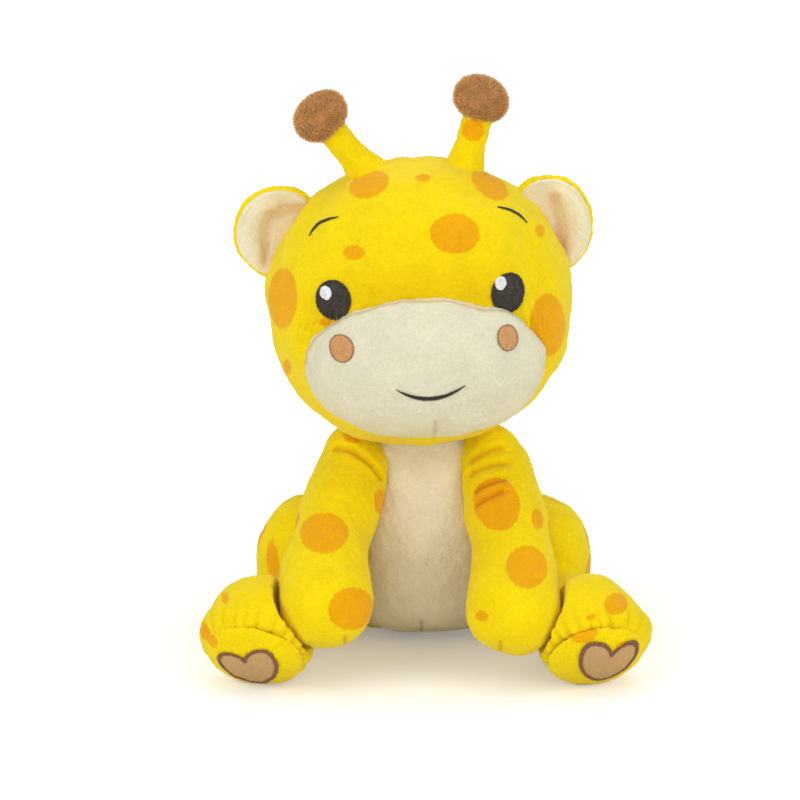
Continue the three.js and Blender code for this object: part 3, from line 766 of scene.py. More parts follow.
def neck_ball(grow=0.0):
    r = NECK_RADIUS + grow
    return plump((r, r, r), NECK_PIVOT)


def body_forms(grow=0.0):
    """The pear, the neck's ball, and the filling in the corners between neck and shoulders."""
    yokes = [plump((13 + grow, 15 + grow, 11 + grow), (s * 21, -4, 96)) for s in (-1, 1)]
    return [pear(grow), neck_ball(grow), *yokes]


beside_left = block((HIP_HALF_WIDTH, -300, -300), (300, 300, 300))
beside_right = block((-300, -300, -300), (-HIP_HALF_WIDTH, 300, 300))
print("the body is made of", len(body_forms()), "forms; the head nods about", tuple(NECK_PIVOT))

# %% Body: sewn and stuffed
SEAT_CURVE, SEAT_CURVE_TOP = 15, 26  # between the legs the seat curves up to the belly

body_cover = stuffed("body_cover", body_forms(), [FLOOR, beside_left, beside_right], cap=1.2)
points = points_of(body_cover)
points[:, 0] = np.clip(points[:, 0], -HIP_HALF_WIDTH, HIP_HALF_WIDTH)
x, y, z = points.T
low = np.clip((SEAT_CURVE_TOP - z) / SEAT_CURVE_TOP, 0, 1) ** 2
front = np.clip((-y - 8) / 18, 0, 1) * np.clip((40 - np.abs(x)) / 10, 0, 1)
points[:, 1] += SEAT_CURVE * low * front
move_points(body_cover, points)
with_nap(body_cover)
back = np.where(points[:, 1] > 0, np.abs(points[:, 0]), 99.0)
pressed(body_cover, 1.1, 1.5, back)
on_floor(body_cover)

# %% [markdown]
# ## Sewn-on panels and embroidery
#
# A panel, such as the belly's, is a flat piece of cloth sewn down along its edge, so it stands
# proud in the middle and dips into a crease all round. It is made as rings about its middle, laid
# onto the piece below by casting rays, with a closed back just under the surface.
#
# Embroidery is hundreds of stitches of shiny thread, side by side. This is what Geometry Nodes
# are for. The script only says where each stitch is, which way it runs and how long it is. The
# node tree puts a small spindle there, turned and stretched, and makes them all one mesh.

# %% Panels
def panel(name, outline, middle, cast, rise, rings=14, edge=0.16, sink=0.45):
    """A closed panel inside an outline, laid onto a surface.

    cast(a, b) gives the surface's point and its normal there."""
    outline, middle = np.array(outline, float), np.array(middle, float)
    shares = np.linspace(0, 1, rings + 1)
    places, normals = [], []
    for share in shares[1:]:
        for a, b in middle + share * (outline - middle):
            place, normal = cast(a, b)
            places.append(place)
            normals.append(normal)
    place, normal = cast(*middle)
    places, normals = np.array([place, *places], float), np.array([normal, *normals], float)
    inner = np.concatenate([[0], np.repeat(shares[1:], len(outline))])
    swell = 1 - np.exp(-(1 - inner) / edge)
    top = places + normals * (rise * swell / swell.max() - sink * (inner == 1))[:, None]
    under = places - normals * sink * 1.6
    count = len(outline)
    total = len(places)
    faces = []
    for j in range(count):
        k = (j + 1) % count
        faces.append((0, 1 + j, 1 + k))
        faces.append((total, total + 1 + k, total + 1 + j))
        for i in range(rings - 1):
            a = 1 + i * count
            faces.append((a + j, a + count + j, a + count + k, a + k))
            faces.append((total + a + j, total + a + k, total + a + count + k,
                          total + a + count + j))
        a = 1 + (rings - 1) * count
        faces.append((a + j, total + a + j, total + a + k, a + k))
    piece = mesh_piece(name, (np.concatenate([top, under]), faces))
    facing_out(piece)
    return piece


def facing_out(piece):
    """Turns all faces of a closed mesh outwards."""
    shape = bmesh.new()
    shape.from_mesh(piece.data)
    bmesh.ops.remove_doubles(shape, verts=shape.verts, dist=1e-7)
    bmesh.ops.recalc_face_normals(shape, faces=shape.faces)
    if shape.calc_volume(signed=True) < 0:
        bmesh.ops.reverse_faces(shape, faces=shape.faces)
    shape.to_mesh(piece.data)
    shape.free()


def one_piece(name, pieces):
    """Joins meshes to one object and keeps their materials."""
    first = pieces[0]
    if len(pieces) > 1:
        with bpy.context.temp_override(active_object=first, object=first,
                                       selected_editable_objects=pieces, selected_objects=pieces):
            bpy.ops.object.join()
    first.name = first.data.name = name
    return first


# %% The node tree of the stitches
def node_tool(name, sockets):
    """A Geometry Nodes tree with named inputs: the tree, the function that adds nodes to it, its
    inputs, and the function that makes a node its result."""
    tree = bpy.data.node_groups.new(name, "GeometryNodeTree")
    tree.interface.new_socket("Geometry", in_out="INPUT", socket_type="NodeSocketGeometry")
    tree.interface.new_socket("Geometry", in_out="OUTPUT", socket_type="NodeSocketGeometry")
    for label, kind in sockets.items():
        tree.interface.new_socket(label, in_out="INPUT", socket_type="NodeSocket" + kind)
    start, end = tree.nodes.new("NodeGroupInput"), tree.nodes.new("NodeGroupOutput")

    def result(last):
        tree.links.new(last.outputs[0], end.inputs["Geometry"])

    return tree, partial(add_node, tree), start.outputs, result


def run_tool(piece, tree, **values):
    """Runs a tree on a piece and keeps its result. In a name an underscore stands for a space."""
    mod = piece.modifiers.new(tree.name, "NODES")
    mod.node_group = tree
    for item in tree.interface.items_tree:
        given = values.get(item.name.replace(" ", "_"))
        if item.in_out == "INPUT" and given is not None:
            mod[item.identifier] = given
    piece.update_tag()
    return settle(piece)


stitch_tool, add, ins, result = node_tool("satin_stitches", {
    "Thread Width": "Float", "Thread Height": "Float", "Thread": "Material",
})
spindle = add("GeometryNodeMeshUVSphere", inputs={"Segments": 6, "Rings": 5, "Radius": 0.5})
along, out = (add("GeometryNodeInputNamedAttribute", inputs={"Name": label},
                  data_type="FLOAT_VECTOR").outputs[0] for label in ("along", "out"))
reach = add("GeometryNodeInputNamedAttribute", inputs={"Name": "reach"}, data_type="FLOAT")
turn = add("FunctionNodeAxesToRotation", {"Primary Axis": along, "Secondary Axis": out},
           primary_axis="X", secondary_axis="Z")
size = add("ShaderNodeCombineXYZ",
           {"X": reach.outputs[0], "Y": ins["Thread Width"], "Z": ins["Thread Height"]})
laid = add("GeometryNodeInstanceOnPoints",
           {"Points": ins["Geometry"], "Instance": spindle.outputs[0],
            "Rotation": turn.outputs[0], "Scale": size.outputs[0]})
real = add("GeometryNodeRealizeInstances", {"Geometry": laid.outputs[0]})
result(add("GeometryNodeSetMaterial", {"Geometry": real.outputs[0], "Material": ins["Thread"]}))


LONGEST_STITCH = 5.0


def stitches(name, pairs, cast, yarn, width=0.55, height=0.5, lift=0.25):
    """Stitches between pairs of places, laid onto a surface, as one mesh."""
    chance = np.random.default_rng(len(pairs))
    middles, alongs, outs, reaches = [], [], [], []
    for start, end in pairs:
        a, na = cast(*start)
        b, nb = cast(*end)
        count = max(1, math.ceil((b - a).length / LONGEST_STITCH))
        for i in range(count):
            p, q = a.lerp(b, i / count), a.lerp(b, (i + 1) / count)
            n = na.lerp(nb, (i + 0.5) / count).normalized()
            if count > 1:
                middle = (Vector(start) * (count - i - 0.5) + Vector(end) * (i + 0.5)) / count
                p = p + (cast(*middle)[0] - (p + q) / 2)
                q = p + (b - a) / count
            middles.append((p + q) / 2 + n * (lift + chance.uniform(-0.04, 0.04)))
            alongs.append((q - p).normalized())
            outs.append(n)
            reaches.append((q - p).length * MM * chance.uniform(1.05, 1.16))
    piece = mesh_piece(name, (np.array(middles, float), []))
    for label, values in (("along", alongs), ("out", outs)):
        attribute = piece.data.attributes.new(label, "FLOAT_VECTOR", "POINT")
        attribute.data.foreach_set("vector", np.array(values, np.float32).ravel())
    keep_number(piece, "reach", reaches)
    run_tool(piece, stitch_tool, Thread_Width=width * MM, Thread_Height=height * MM, Thread=yarn)
    piece.data.shade_smooth()
    return piece


def turning(degrees):
    """The matrix that turns flat places, one in each row, by an angle."""
    a = math.radians(degrees)
    return np.array([[math.cos(a), math.sin(a)], [-math.sin(a), math.cos(a)]])


def filled(outline, spacing=0.45, length=4.2, tilt=0):
    """Rows of stitches that fill an outline, set off like bricks."""
    spin = turning(tilt)
    flat = np.array(outline, float) @ spin.T
    pairs = []
    rows = np.arange(flat[:, 1].min() + spacing / 2, flat[:, 1].max(), spacing)
    for number, y in enumerate(rows):
        x0, y0 = flat[:, 0], flat[:, 1]
        x1, y1 = np.roll(x0, -1), np.roll(y0, -1)
        hit = (y0 <= y) != (y1 <= y)
        ends = np.sort(x0[hit] + (y - y0[hit]) * (x1[hit] - x0[hit]) / (y1[hit] - y0[hit]))
        for low, high in zip(ends[::2], ends[1::2]):
            marks = np.arange(low - (number * 0.37 % 1) * length, high, length)
            marks = np.concatenate([[low], marks[(marks > low + 0.6) & (marks < high - 0.6)],
                                    [high]])
            for p, q in zip(marks, marks[1:]):
                pairs.append(tuple(tuple(np.array([e, y]) @ spin) for e in (p, q)))
    return pairs


def bordered(outline, width, spacing=0.42, inset=0.5):
    """Satin stitches across an outline's edge, side by side all the way round."""
    outline = np.array(outline, float)
    closed = np.concatenate([outline, outline[:1]])
    steps = np.linalg.norm(np.diff(closed, axis=0), axis=1)
    along = np.concatenate([[0], np.cumsum(steps)])
    at = np.arange(0, along[-1], spacing)
    line = np.stack([np.interp(at, along, closed[:, k]) for k in range(2)], 1)
    ahead = np.roll(line, -1, axis=0) - np.roll(line, 1, axis=0)
    ahead /= np.linalg.norm(ahead, axis=1)[:, None]
    across = np.stack([ahead[:, 1], -ahead[:, 0]], 1)
    inner, outer = line - across * width * inset, line + across * width * (1 - inset)
    return [(tuple(p), tuple(q)) for p, q in zip(inner, outer)]


RAY_START = 200  # millimetres in front of a piece


def caster(piece, matrix, along, across, up):
    """Lays flat places (a, b) onto a piece, by rays along a direction of the matrix's space."""
    tree = tree_of(piece)
    along, across, up = Vector(along), Vector(across), Vector(up)
    direction = (matrix.to_3x3() @ along).normalized()

    def cast(a, b):
        start = matrix @ (across * a + up * b - along * RAY_START)
        place, normal, _, _ = tree.ray_cast(start, direction)
        if place is None:
            place, normal, _, _ = tree.find_nearest(start + direction * RAY_START)
        return place, normal

    return cast


# %% Threads
THREAD_MM = 0.5  # how wide one stitch of embroidery thread lies


def thread(name, colour, gloss=0.42):
    """Trilobal polyester embroidery thread: smooth, so each stitch has a bright line along it."""
    material = bpy.data.materials.new(name)
    add = shader_nodes(material)
    strands = noise(add, THREAD_MM, 2.0)
    surface(add, scaled(add, colour, between(add, strands, 0.8, 1.2)), (strands, 0.3, 0.0002),
            Roughness=gloss, Specular_IOR_Level=0.45, Sheen_Weight=0.1)
    return material


dark_thread = thread("dark_brown_polyester_thread", "#30261C")
white_thread = thread("white_polyester_thread", "#EEF0F0")
tan_thread = thread("tan_polyester_thread", "#D09A60", gloss=0.6)
russet_thread = thread("russet_polyester_thread", "#8A5B3C")
yellow_thread = thread("yellow_sewing_thread", "#E8C40C")


def sewn_on(piece, body, slot, *nodes):
    """Attaches an embroidery or a patch to its body and hides the parts that it replaces."""
    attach(piece, body)
    if nodes:
        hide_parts(*nodes)
    print(f"  {piece.name}: {len(piece.data.polygons)} faces")


# %% Body: belly panel
BELLY_WIDE, BELLY_NARROW = 33, 26  # half its width at the bottom, and where the corner begins
BELLY_LOW, BELLY_CORNER, BELLY_TOP = 2.6, 100, 107

sides = []
for share in np.linspace(0, 1, 44, endpoint=False):
    across = BELLY_WIDE - (BELLY_WIDE - BELLY_NARROW) * share - 0.6 * math.sin(math.pi * share)
    sides.append((across, BELLY_LOW + (BELLY_CORNER - BELLY_LOW) * share))
for a in np.linspace(0, np.pi / 2, 10, endpoint=False):
    sides.append((18 + 8 * math.cos(a), BELLY_CORNER + 7 * math.sin(a)))
sides += [(x, BELLY_TOP) for x in np.linspace(18, 0, 10, endpoint=False)]
sides += [(-x, y) for x, y in reversed(sides[1:])] + [(-BELLY_WIDE, BELLY_LOW)]
for x in np.linspace(-31, 31, 30):
    sides.append((x, BELLY_LOW - 1.2 * math.cos(x / BELLY_WIDE * math.pi / 2)))
apart = [p for p, before in zip(sides[1:], sides) if math.dist(p, before) > 0.01]
BELLY_OUTLINE = sides[:1] + apart

FRONTAL = {"along": (0, 1, 0), "across": (1, 0, 0), "up": (0, 0, 1)}
on_front = caster(body_cover, Matrix(), **FRONTAL)
belly = panel("belly_pillow", BELLY_OUTLINE, (0, 48), on_front, rise=1.5, rings=30, edge=0.1,
              sink=0.5)
finer(belly, 1)
with_nap(belly, lump=0.25, nap=0.03)
points = points_of(belly)
pinch = np.hypot(points[:, 0] + 1.5, np.maximum(points[:, 2] - 16, 0))
pressed(belly, 0.8, 0.9, np.where(points[:, 1] < -20, pinch, 99))
edge_line = np.array([on_front(a, b)[0] for a, b in BELLY_OUTLINE])
points = points_of(body_cover)
near = np.array([np.linalg.norm(edge_line - p, axis=1).min() if p[1] < 0 else 99 for p in points])
pressed(body_cover, 0.7, 1.6, near)
on_floor(belly)
print("belly panel laid on:", len(belly.data.polygons), "faces")

BODY_SPOTS = [(150, 25, 8, 7), (205, 30, 9, 8), (165, -12, 9, 10), (215, -8, 7, 8), (110, 30, 6, 7),
              (250, 28, 7, 6)]
finish_plush(body_cover, yellow_plush, "torso", ["torso"],
             unseen_spots(body_cover, (0, 0, 50), BODY_SPOTS))
finish_plush(belly, cream_plush, "torso", ["belly_panel"])

# %% Body: the seam that is closed by hand, and the bag in the seat
on_back = caster(body_cover, Matrix(), (0, -1, 0), (1, 0, 0), (0, 0, 1))
CLOSING = [((-1.5, z), (1.5, z + 1.2)) for z in np.arange(10, 42, 3.4)]
closing = stitches("closing_seam_stitches", CLOSING, on_back, yellow_thread, width=0.6, height=0.5,
                   lift=0.1)
sewn_on(closing, "torso", "yellow_plush")

bag_cloth = bpy.data.materials.new("plain_woven_cotton_bag")
add = shader_nodes(bag_cloth)
WEAVE_MM = 0.9  # between threads, drawn coarser than the real 0.4 mm so that it shows
place = add("ShaderNodeTexCoord").outputs["Object"]
warp, weft = (add("ShaderNodeTexWave", {"Vector": place}, {"Scale": 1 / (WEAVE_MM * MM) / 6.5},
                  bands_direction=way).outputs["Fac"] for way in "XY")
weave = add("ShaderNodeMath", {0: warp, 1: weft}, operation="MAXIMUM").outputs[0]
tone = add("ShaderNodeMapRange", {"Value": weave}, {"To Min": 0.8, "To Max": 1.0})
surface(add, scaled(add, "#E8E2D3", tone.outputs[0]), (weave, 0.5, 0.0003),
        Roughness=0.88, Sheen_Weight=0.15)

bag = stuffed("bag_of_pellets", [plump((24, 22, 10), (0, 0, 20))], cap=0.6)
with_nap(bag, nap=0.0)
pellet_bumps = waves(11, 4.2)
pushed(bag, 0.25 * pellet_bumps(points_of(bag)))
pressed(bag, 0.7, 1.0, np.abs(points_of(bag)[:, 2] - 20))
finish_plush(bag, bag_cloth, "torso", ["pellet_bag"])

# %% [markdown]
# ## Arms
#
# An arm is a tube of two halves with a round paw at its end, stuffed firmly at the paw and loosely
# at the shoulder, where it is sewn to the body. That is why the cloth folds there and nowhere
# else. Its root is sewn to the body, and all beyond the next 14 mm of cloth swings with the arm.
# This script works out where those 14 mm start and end, but doesn't bend them or attach the arm to
# a body. The swinging part is made with the room that the body needs already cut out of it, at
# every angle, so the arm can be lifted without touching.

# %% Arms: forms
SHOULDER = {"left": (36, -15, 89), "right": (-36, -15, 89)}
PAW = {"left": (44, -88, 38.2), "right": (-50, -89, 42.2)}
BOW = {"left": 4, "right": -4}
ARM_RADII = (21, 21.5, 24.5)
SHOULDER_PUFF = {"left": ((-2, 1, 10.5), 16), "right": ((-1, 3, 8.5), 17)}
SLEEVE_ROOT, SLEEVE_FREE = 2, 16  # along the sleeve from its shoulder
SWING_AXIS = (-1, 0, 0)
ARM_ANGLES = np.linspace(0, 40, 11)


def arm_forms(side, grow=0.0):
    """The sleeve, and the ball of filling that pushes up into the shoulder."""
    start, end = np.array(SHOULDER[side], float), np.array(PAW[side], float)
    middle = (start + end) / 2 + np.array([BOW[side], 0, 0])
    sleeve = limb((start, middle, end), [r + grow for r in ARM_RADII], depth_share=0.94)
    shift, radius = SHOULDER_PUFF[side]
    return [sleeve, plump([radius + grow] * 3, start + shift)]


def arm_sweep(side, grow):
    """The arm's forms at each angle of its swing."""
    turns = [turn_about(SHOULDER[side], SWING_AXIS, angle) for angle in ARM_ANGLES]
    return [turned(form, turn) for turn in turns for form in arm_forms(side, grow)]


# Folds at the shoulder, as pixels of the photograph: each is a line of creased cloth
ARM_FOLDS = {
    "right": [[(336, 448), (353, 451), (368, 461), (381, 478)]],
    "left": [[(475, 490), (488, 484), (503, 480)], [(477, 505), (488, 498), (501, 492)],
             [(471, 474), (488, 466), (505, 464)], [(472, 460), (486, 452), (500, 448)]],
}
FOLD_DEPTHS, FOLD_WIDTH = (1.9, 1.5, 1.0, 0.6), 1.7
BESIDE_FOLD = 0.6  # how much the cloth rises beside a fold
ARM_SPOTS = {
    "right": [(353, 435, 19, 17, 0), (324, 533, 49, 39, 0), (351, 609, 45, 43, 0),
              (381, 503, 13, 28, 8)],
    "left": [(497, 504, 46, 52, 12), (527, 567, 42, 41, 0), (482, 616, 12, 11, 0),
             (549, 505, 12, 20, 10)],
}
ARM_BACK_SPOTS = {
    "right": [(262, 8, 9, 8), (230, -20, 8, 10), (190, 20, 7, 8)],
    "left": [(95, 0, 9, 9), (130, 22, 8, 7), (170, -15, 9, 8)],
}
PAW_PINCH = {"right": (345, 641), "left": (500, 648)}
for side in ("left", "right"):
    print(f"{side} arm, shoulder to paw: {math.dist(SHOULDER[side], PAW[side]):.1f} mm")


# %% Arms: sewn, stuffed and folded
for side in ("left", "right"):
    shoulder = Vector(SHOULDER[side])
    down = (Vector(PAW[side]) - shoulder).normalized()
    bends = ("torso", shoulder + down * SLEEVE_ROOT, shoulder + down * SLEEVE_FREE)
    behind = Matrix.Translation(bends[1]) @ (-down).to_track_quat("Z", "Y").to_matrix().to_4x4()
    room = swept("body_room", body_forms(2.2), SHOULDER[side], SWING_AXIS, -ARM_ANGLES)
    cut(room, turned(block((-200, -200, 0), (200, 200, 200)), behind))
    arm = stuffed(f"{side}_arm_sleeve", arm_forms(side, -0.9), body_forms(-2.0), [room], voxel=2.0,
                  cap=1.4)
    remove(room)
    tree = tree_of(arm)
    for depth, fold in zip(FOLD_DEPTHS, ARM_FOLDS[side]):
        points = points_of(arm)
        near = near_line(points, [seen_at(tree, *p)[0] for p in fold])
        pressed(arm, depth, FOLD_WIDTH, near)
        pushed(arm, BESIDE_FOLD * np.exp(-(((near - 4.2) / 2.2) ** 2)))
    pinch, _ = seen_at(tree, *PAW_PINCH[side])
    points = points_of(arm) - np.array(pinch)
    pressed(arm, 0.9, 0.9, np.hypot(points[:, 0], np.maximum(np.abs(points[:, 2]) - 3.5, 0)))
    with_nap(arm, lump=0.45)
    on_floor(arm)
    spots = np.minimum(seen_spots(arm, ARM_SPOTS[side]),
                       unseen_spots(arm, (np.array(SHOULDER[side]) + PAW[side]) / 2,
                                    ARM_BACK_SPOTS[side]))
    finish_plush(arm, yellow_plush, f"{side}_arm", [f"{side}_arm"], spots,
                 bends=bends)

# %% [markdown]
# ## Legs and feet
#
# Each leg is a haunch with a short shin, and the foot is a bag of its own. The foot's upper is
# cut longer than the edge of the sole that it is sewn to, and a gathering thread draws it in. That
# puts a row of small pleats above the seam, which fade within a centimetre. Here they are waves
# round the foot's own axis. On the sole is a heart of tan cloth under a border of satin stitch.

# %% Legs: forms
LEG_ANGLES = np.linspace(-30, 0, 7)
FOOT_RADII, SOLE_OUT, SOLE_CROWN = (28.5, 26, 30), 13, 11
FOOT_OFFSET, FOOT_FORWARD, FOOT_DOWN_DEG, FOOT_SPLAY_DEG = 82, 88, 36, 14
FOOT_PUFF = 3.6  # the outer side is stuffed more
HAUNCH_INSIDE = 38.7  # the haunch's flat inner side, just beside the body's
SOLE_SHARE = math.sqrt(1 - (SOLE_OUT / FOOT_RADII[2]) ** 2)
SIGN = {"left": 1, "right": -1}


def hip(side):
    return Vector((SIGN[side] * HIP_HALF_WIDTH, 0, 36))


def foot_frame(side):
    """Carries a foot to its place from its own space: there its sole faces +Z and its top +Y."""
    down = math.radians(FOOT_DOWN_DEG)
    lowest = math.hypot(FOOT_RADII[2] * math.sin(down), FOOT_RADII[1] * math.cos(down)) - 0.5
    place = Matrix.Translation((SIGN[side] * FOOT_OFFSET, -FOOT_FORWARD, lowest))
    splay = Matrix.Rotation(math.radians(SIGN[side] * FOOT_SPLAY_DEG), 4, "Z")
    return place @ splay @ Matrix.Rotation(math.pi / 2 + down, 4, "X")


def foot_ball(grow=0.0):
    return plump([r + grow for r in FOOT_RADII], fullness=2.15)


def leg_forms(side, grow=0.0):
    s = SIGN[side]
    thigh = plump((29 + grow, 33 + grow, 36 + grow), (s * 60, 0, 35.5), 2.15)
    calf = limb(((s * 60, 0, 20), (s * 72, -52, 20), (s * FOOT_OFFSET, -FOOT_FORWARD, 20)),
                (21 + grow,) * 3)
    return [thigh, calf]


HAUNCH_SPOTS = {"right": [(273, 562, 13, 44, 6)], "left": [(590, 575, 12, 26, -10)]}
HAUNCH_BACK = {
    "right": [(235, 20, 9, 8), (275, 30, 8, 9), (205, -5, 8, 7), (255, -15, 9, 9)],
    "left": [(95, 25, 9, 8), (125, -10, 9, 9), (150, 25, 8, 7), (75, -5, 8, 8)],
}
FOOT_SPOTS = {
    "right": [(205, 632, 12, 22, 25), (225, 598, 8, 10, 0)],
    "left": [(616, 604, 25, 20, 15), (591, 617, 10, 6, 10)],
}
SOLE_SPOTS = {
    "left": [(584, 634, 28, 17, 14), (617, 623, 17, 13, 10)],
    "right": [(212, 640, 10, 16, 20)],
}
print("hips:", tuple(hip("left")), tuple(hip("right")))

# %% Legs: haunches, feet and soles
def gathered(piece, frame_inverse, pleats, depth, reach):
    """Pleats that a gathering thread draws into the foot above the seam of the sole."""
    local = np.array([frame_inverse @ Vector(p) for p in points_of(piece)])
    angle = np.arctan2(local[:, 1], local[:, 0])
    back = np.clip((SOLE_OUT - local[:, 2]) / reach, 0, 1)
    fade = (1 - back) ** 2 * np.clip((SOLE_OUT + 1 - local[:, 2]) / 2, 0, 1)
    swing = angle * pleats / 2 + 0.7 * np.sin(3 * angle) + 0.4 * np.sin(7 * angle + 1)
    puff = np.abs(np.sin(swing)) ** 0.55
    size = 0.75 + 0.25 * np.sin(5 * angle + 2)
    pushed(piece, -depth * size * (1 - puff) * fade)
    # Painted shade in the folds between the pleats, kept as the attribute seam
    keep_number(piece, "seam", np.clip((1 - puff) * fade * 0.7, 0, 1))


sole_pieces = {}
for side in ("left", "right"):
    frame_of_foot = foot_frame(side)
    inverse = frame_of_foot.inverted()
    body = f"{side}_leg"
    room = mesh_piece("arm_room", *arm_sweep(side, 1.0))
    for angle in -LEG_ANGLES[:-1]:
        turn = turn_about(hip(side), SWING_AXIS, angle)
        other = mesh_piece("more_room", *[turned(form, turn) for form in arm_forms(side, 1.0)])
        room = one_piece("arm_room", [room, other])
    skinned(room, 1.8)
    inner_side = (SIGN[side] * HAUNCH_INSIDE, -300, -300), (SIGN[side] * -300, 300, 300)
    inner = block(*sorted(inner_side))
    foot_room = turned(foot_ball(-2.6), frame_of_foot)  # the shin is sewn into the foot
    leg = stuffed(f"{side}_haunch", leg_forms(side, -0.9), [FLOOR, inner, foot_room], [room],
                  cap=1.4)
    with_nap(leg)
    top = points_of(leg)
    pressed(leg, 0.8, 1.3, np.where(top[:, 2] > 25, np.abs(top[:, 1] - 2), 99))
    on_floor(leg)
    spots = np.minimum(seen_spots(leg, HAUNCH_SPOTS[side]),
                       unseen_spots(leg, (SIGN[side] * 60, 0, 36), HAUNCH_BACK[side]))
    finish_plush(leg, yellow_plush, body, [body], spots)

    beyond = turned(block((-90, -90, SOLE_OUT), (90, 90, 90)), frame_of_foot)
    foot = stuffed(f"{side}_foot_upper", [turned(foot_ball(-0.8), frame_of_foot)], [FLOOR, beyond],
                   [room], voxel=1.9, smooth=5, cap=1.2)
    local = np.array([inverse @ Vector(p) for p in points_of(foot)])
    outward = inverse.to_3x3() @ Vector((SIGN[side], 0, 0))
    round_foot = local[:, :2] / np.maximum(np.linalg.norm(local[:, :2], axis=1), 1)[:, None]
    outer = np.clip(round_foot @ np.array(outward)[:2], 0, 1) ** 1.5
    pushed(foot, FOOT_PUFF * outer * np.exp(-(((local[:, 2] - 7) / 7) ** 2)))
    gathered(foot, inverse, pleats=24, depth=2.4, reach=21)
    with_nap(foot, lump=0.4)
    on_floor(foot)
    finish_plush(foot, yellow_plush, body, [f"{side}_foot"],
                 seen_spots(foot, FOOT_SPOTS[side]))

    dome = plump((FOOT_RADII[0] * SOLE_SHARE - 0.2, FOOT_RADII[1] * SOLE_SHARE - 0.2, SOLE_CROWN),
                 (0, 0, SOLE_OUT))
    behind = block((-90, -90, -90), (90, 90, SOLE_OUT + 0.3))
    sole = stuffed(f"{side}_sole_pad", [turned(dome, frame_of_foot)],
                   [FLOOR, turned(behind, frame_of_foot)], [room], voxel=1.5, smooth=3, cap=0.6)
    with_nap(sole, lump=0.2)
    on_floor(sole)
    finish_plush(sole, yellow_plush, body, [f"{side}_sole"],
                 seen_spots(sole, SOLE_SPOTS[side]))
    sole_pieces[side] = sole
    remove(room)

# %% Legs: hearts
def bezier(points, count):
    t = np.linspace(0, 1, count, endpoint=False)[:, None]
    p = [np.array(q, float) for q in points]
    if len(p) == 3:
        return p[0] * (1 - t) ** 2 + p[1] * 2 * t * (1 - t) + p[2] * t * t
    inner = p[1] * 3 * t * (1 - t) ** 2
    return p[0] * (1 - t) ** 3 + inner + p[2] * 3 * t * t * (1 - t) + p[3] * t**3


def heart_outline(half_width, half_height):
    """The heart: up its right side from the point, into the notch, and down the left side."""
    w, h = half_width, half_height
    right = [bezier([(0, -h), (w, -h * 0.55), (w * 1.15, h), (w * 0.5, h)], 36),
             bezier([(w * 0.5, h), (w * 0.1, h), (0, h * 0.55)], 12)]
    right = np.concatenate(right)
    left = right[::-1] * (-1, 1)
    return np.concatenate([right, [(0, h * 0.55)], left[:-1]])


heart_cloth = plush("tan_brushed_patch_cloth", "#CAA270", bloom=0.25, bump=0.3)
HEART_AT, HEART_TURN = {"left": (2.6, 4), "right": (0.3, 0)}, {"left": -9, "right": 13}
HEART_HALF = (16.8, 13)  # half its width and height
for side in ("left", "right"):
    on_sole = caster(sole_pieces[side], foot_frame(side), (0, 0, -1), (1, 0, 0), (0, 1, 0))
    middle = np.array(HEART_AT[side])
    flat = heart_outline(*HEART_HALF) @ turning(HEART_TURN[side])
    outline = flat + middle
    patch = panel(f"{side}_heart_patch", flat * 0.97 + middle, middle, on_sole, rise=0.75, rings=14,
                  edge=0.05)
    patch.data.materials.append(heart_cloth)
    keep_number(patch, "seam", np.zeros(len(patch.data.vertices)))
    patch.data.shade_smooth()
    border = stitches("border", bordered(outline, 1.9, inset=0.6), on_sole, russet_thread,
                      lift=0.75, height=0.7)
    badge = one_piece(f"{side}_heart_badge", [patch, border])
    sewn_on(badge, f"{side}_leg", "tan_felt", f"{side}_heart")

# %% [markdown]
# ## Head and muzzle
#
# The head is a ball of four gores, a little wider than tall and the largest bag of the toy. It
# leans by three degrees to its right. The cream muzzle is a panel of its own, cut wider than the
# hole that it covers, so that it stands proud when it is stuffed, and its seam is a soft groove
# that runs all round. Underneath, the head is hollowed for the ball of the neck, and for the body
# and the shoulders at every angle of its nod.

# %% Head: forms
HEAD_RADII, HEAD_FULLNESS = (79, 70, 75), 2.06
MUZZLE_RADII, MUZZLE_FULLNESS, MUZZLE_AT = (61, 48, 42), 2.3, (0.5, -38, -17)
# The muzzle's seam as pixels of the photograph, from the middle of its top round by the toy's left
MUZZLE_SEAM = [
    (425, 300), (449, 301), (475, 303), (498, 309), (514, 318), (529, 328), (539, 340), (544, 351),
    (545, 364), (540, 378), (531, 391), (518, 405), (498, 418), (475, 427), (452, 431), (425, 433),
    (395, 431), (368, 427), (346, 418), (331, 408), (318, 396), (310, 384), (306, 370), (306, 359),
    (308, 347), (314, 338), (323, 329), (337, 321), (352, 315), (371, 308), (395, 303),
]
HEAD_MIDDLE = Vector((0, NECK_BACK - 15, NECK_HEIGHT + 64))
LEAN = turn_about(NECK_PIVOT, (0, 1, 0), -3) @ turn_about(NECK_PIVOT, (0, 0, 1), 3)
HEAD_FRAME = LEAN @ Matrix.Translation(HEAD_MIDDLE)
NOD_ANGLES = np.linspace(-10, 10, 7)


def head_ball(grow=0.0):
    return plump([r + grow for r in HEAD_RADII], fullness=HEAD_FULLNESS, around=120, along=64)


def muzzle_ball(grow=0.0):
    return plump([r + grow for r in MUZZLE_RADII], MUZZLE_AT, MUZZLE_FULLNESS, around=120, along=64)


def prism(outline, near, far):
    """A flat outline (x, z) drawn out between two depths."""
    count = len(outline)
    points = np.array([(x, y, z) for y in (near, far) for x, z in outline])
    sides = [(i, (i + 1) % count, count + (i + 1) % count, count + i) for i in range(count)]
    return points, [tuple(range(count))[::-1], tuple(range(count, 2 * count)), *sides]


